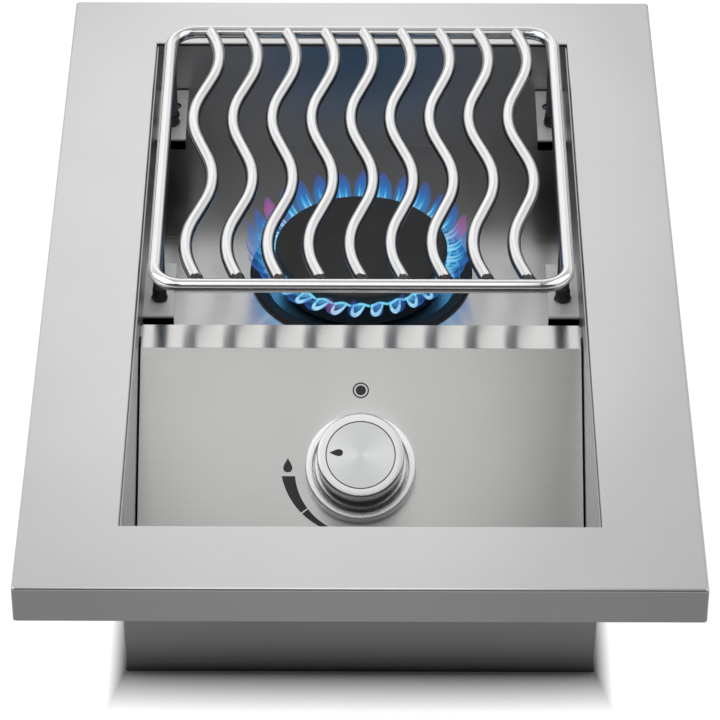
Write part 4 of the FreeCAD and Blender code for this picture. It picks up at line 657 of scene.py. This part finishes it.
def lobe(index):
    angle = math.tau * (index + 0.5) / PORTS
    reach = 1.03 - 0.075 * math.cos(angle) - 0.06 * math.sin(angle) + 0.07 * math.cos(angle) ** 2
    reach *= random.uniform(0.95, 1.05)
    lift = 0.9 + 0.07 * abs(math.cos(angle)) + random.uniform(-0.07, 0.07)
    lean, heat = random.uniform(-0.8, 0.8), BLUSHING.get(index, 0.0)
    front = max(0.0, -math.sin(angle))
    mesh = bmesh.new()
    marks = [mesh.verts.layers.float.new(name) for name in ("tone", "clear", "blush")]

    def where(r, across, z):
        grown = ROOT + (r - ROOT) * (1 + (reach - 1) * min(1.0, max(0.0, (r - 52) / 8)))
        return gas_point(angle, grown, across + lean * max(0.0, (z - 42) / 10),
                         ROOT_LEVEL + (z - ROOT_LEVEL) * lift)

    rows = []
    for r, z, width, tone, clear, pink in MANTLE:
        centre, radial, side = where(r, 0, z)
        t = (r - ROOT) / REACH
        up = Vector((0, 0, 1)) * (1 - 0.75 * t) - radial * (0.75 * t)
        rows.append((centre, side * width * (1.12 - 0.36 * front), up.normalized() * width * 0.5,
                     tone * (1 - 0.35 * front * (z > 42)), clear * (1.12 - 0.4 * front), pink * heat))
    sweep(mesh, marks, rows, 16, fade=0.8)

    points, radii, values = [], [], []
    for step in range(13):
        s = -1 + step / 6
        bow = math.cos(math.pi / 2 * s)
        points.append(where(46.3 + 9.4 * bow ** 0.7, 3.1 * math.sin(math.pi / 2 * s), 40.2 - 2.0 * bow)[0])
        radii.append(0.6 + (0.15 + 0.6 * front) * bow ** 2)
        values.append((0.72 + (0.12 + 0.18 * front) * bow, 0.22 + 0.66 * front, 0.15 * heat))
    sweep(mesh, marks, tube_rows(points, radii, values), 8)

    for across, top in ((-1.7, 1.0), (0.3, 0.8), (2.0, 1.08)):
        points, radii, values = [], [], []
        for r, z, radius, tone, clear in ((47.5, 40.0, 0.55, 0.95, 0.75), (51.5, 40.6, 0.7, 0.92, 0.7),
                                          (55.3, 42.6, 0.75, 0.8, 0.55), (57.8, 45.8, 0.6, 0.62, 0.35),
                                          (59.2, 49.0, 0.2, 0.5, 0.1)):
            points.append(where(ROOT + (r - ROOT) * (0.9 + 0.1 * top), across,
                                ROOT_LEVEL + (z - ROOT_LEVEL) * top)[0])
            radii.append(radius)
            values.append((tone, clear * (1 - 0.9 * front ** 0.6), 0.3 * heat))
        sweep(mesh, marks, tube_rows(points, radii, values), 8)

    points, radii, values = [], [], []
    for step in range(9):
        s = -1 + step / 4
        bearing = angle + math.radians(6 * s)
        r = 50.3 - 0.5 * math.cos(math.pi * s)
        level = 40.9 + 0.5 * math.cos(math.pi * s)
        points.append(BURNER / MM + Vector((r * math.cos(bearing), r * math.sin(bearing), level)))
        radii.append(0.75)
        values.append((0.8, 0.45 + 0.35 * front, 0.0))
    sweep(mesh, marks, tube_rows(points, radii, values), 8)

    bmesh.ops.recalc_face_normals(mesh, faces=mesh.faces)
    data = bpy.data.meshes.new("flame_%02d" % index)
    mesh.to_mesh(data)
    mesh.free()
    piece = put("flame_%02d" % index, data, FLAME, "housing")
    soft = piece.modifiers.new("smooth", "SUBSURF")
    soft.levels = soft.render_levels = 1
    bpy.context.view_layer.update()
    shown = piece.evaluated_get(bpy.context.evaluated_depsgraph_get())
    final = bpy.data.meshes.new_from_object(shown)
    piece.modifiers.clear()
    piece.data = final
    radial = Vector((math.cos(angle), math.sin(angle), 0))
    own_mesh(piece)


for index in range(PORTS):
    lobe(index)


# Floor, lamps, sky and camera

def stage_floor():
    """Pale floor that glows white to the camera and in reflections; the glow is cut back near the housing, a
    painted shadow that lets the matte floor's own shade show.
    """
    bpy.ops.mesh.primitive_grid_add(x_subdivisions=2, y_subdivisions=2, size=14, location=(0, 2.0, -0.0004))
    floor = bpy.context.object
    floor.name = "floor"
    material, tree, shader = new_material("floor_paint")
    tree.nodes.remove(shader)
    shown = add(tree, "OutputMaterial")
    for old in [n for n in tree.nodes if n.type == "OUTPUT_MATERIAL" and n != shown]:
        tree.nodes.remove(old)
    matte = add(tree, "BsdfDiffuse", Color=(0.4, 0.4, 0.4, 1))
    glow = add(tree, "Emission", Color=(1, 1, 1, 1))
    both = add(tree, "AddShader")
    # painted shadow: the glow fades out within about 3 cm of the housing, under 1 cm at its sides
    fade = span(tree, beyond_box(tree, HOUSING, widen=3.5), 0.0015, 0.03, 0.0, 0.9)
    seen = add(tree, "LightPath").outputs
    shown_to = calc(tree, "MAXIMUM", calc(tree, "MAXIMUM", seen["Is Camera Ray"], seen["Is Glossy Ray"]),
                    seen["Is Transmission Ray"])
    tree.links.new(calc(tree, "MULTIPLY", fade, shown_to), glow.inputs["Strength"])
    tree.links.new(matte.outputs["BSDF"], both.inputs[0])
    tree.links.new(glow.outputs["Emission"], both.inputs[1])
    tree.links.new(both.outputs["Shader"], shown.inputs["Surface"])
    floor.data.materials.append(material)


def stage_sky():
    """Plain studio sky: bright low behind the object, middling overhead, darker where the cook stands."""
    world = bpy.data.worlds.new("studio")
    bpy.context.scene.world = world
    world.use_nodes = True
    tree = world.node_tree
    way = axes(tree, add(tree, "TexCoord").outputs["Generated"])
    climb = calc(tree, "ARCTAN2", way["Z"], calc(tree, "MULTIPLY", way["Y"], -1.0))
    stops = ((0, 0.3), (12, 0.26), (22, 0.09), (50, 0.08), (62, 0.26), (90, 0.42), (118, 0.5), (130, 0.72),
             (139, 0.88), (147, 1.05), (156, 1.12), (164, 1.05), (169, 0.6), (174, 0.16), (180, 0.16))
    share = span(tree, climb, 0, math.pi, 0, 1)
    level = ramp(tree, share, [(degrees / 180, grey(v)) for degrees, v in stops])
    aside = ramp(tree, span(tree, way["X"], -0.4, 0.4, 0, 1),
                 [(0.0, grey(0.85)), (0.3, grey(0.94)), (0.48, grey(1.02)), (0.6, grey(0.93)), (0.8, grey(0.72)),
                  (1.0, grey(0.75))])
    tree.links.new(multiply(tree, level, aside), tree.nodes["Background"].inputs["Color"])
    tree.nodes["Background"].inputs["Strength"].default_value = 1.0


def lamp(name, place_at, target, size, power):
    data = bpy.data.lights.new(name, "AREA")
    data.shape = "RECTANGLE"
    data.size, data.size_y = size
    data.energy = power
    item = bpy.data.objects.new(name, data)
    bpy.context.scene.collection.objects.link(item)
    item.location = place_at
    item.rotation_euler = (Vector(target) - Vector(place_at)).to_track_quat("-Z", "Y").to_euler()
    item.visible_camera = False


stage_floor()
stage_sky()
lamp("softbox_left", (-1.6, -0.2, 1.6), (0, 0, 0.05), (2.4, 2.4), 18)
lamp("softbox_right", (1.6, -0.2, 1.6), (0, 0, 0.05), (2.4, 2.4), 14)
lamp("box_over_panel", (-0.035, -0.235, 0.5), (-0.035, -0.235, 0), (0.3, 0.4), 0.32)

pitch, yaw, roll = math.radians(38.05), math.radians(-0.06), math.radians(0.12)
ahead = Vector((math.sin(yaw) * math.cos(pitch), math.cos(yaw) * math.cos(pitch), -math.sin(pitch)))
level_right = Vector((math.cos(yaw), -math.sin(yaw), 0))
level_up = level_right.cross(ahead)
right = level_right * math.cos(roll) + level_up * math.sin(roll)
up = level_up * math.cos(roll) - level_right * math.sin(roll)
camera_data = bpy.data.cameras.new("camera")
camera_data.lens = 190.94
camera_data.sensor_width = 36.0
camera = bpy.data.objects.new("camera", camera_data)
bpy.context.scene.collection.objects.link(camera)
turn = Matrix((right, up, -ahead)).transposed().to_4x4()
camera.matrix_world = Matrix.Translation(Vector((1.2, -1669.6, 1340.4)) * MM) @ turn
bpy.context.scene.camera = camera
bpy.context.scene.view_settings.view_transform = "Standard"
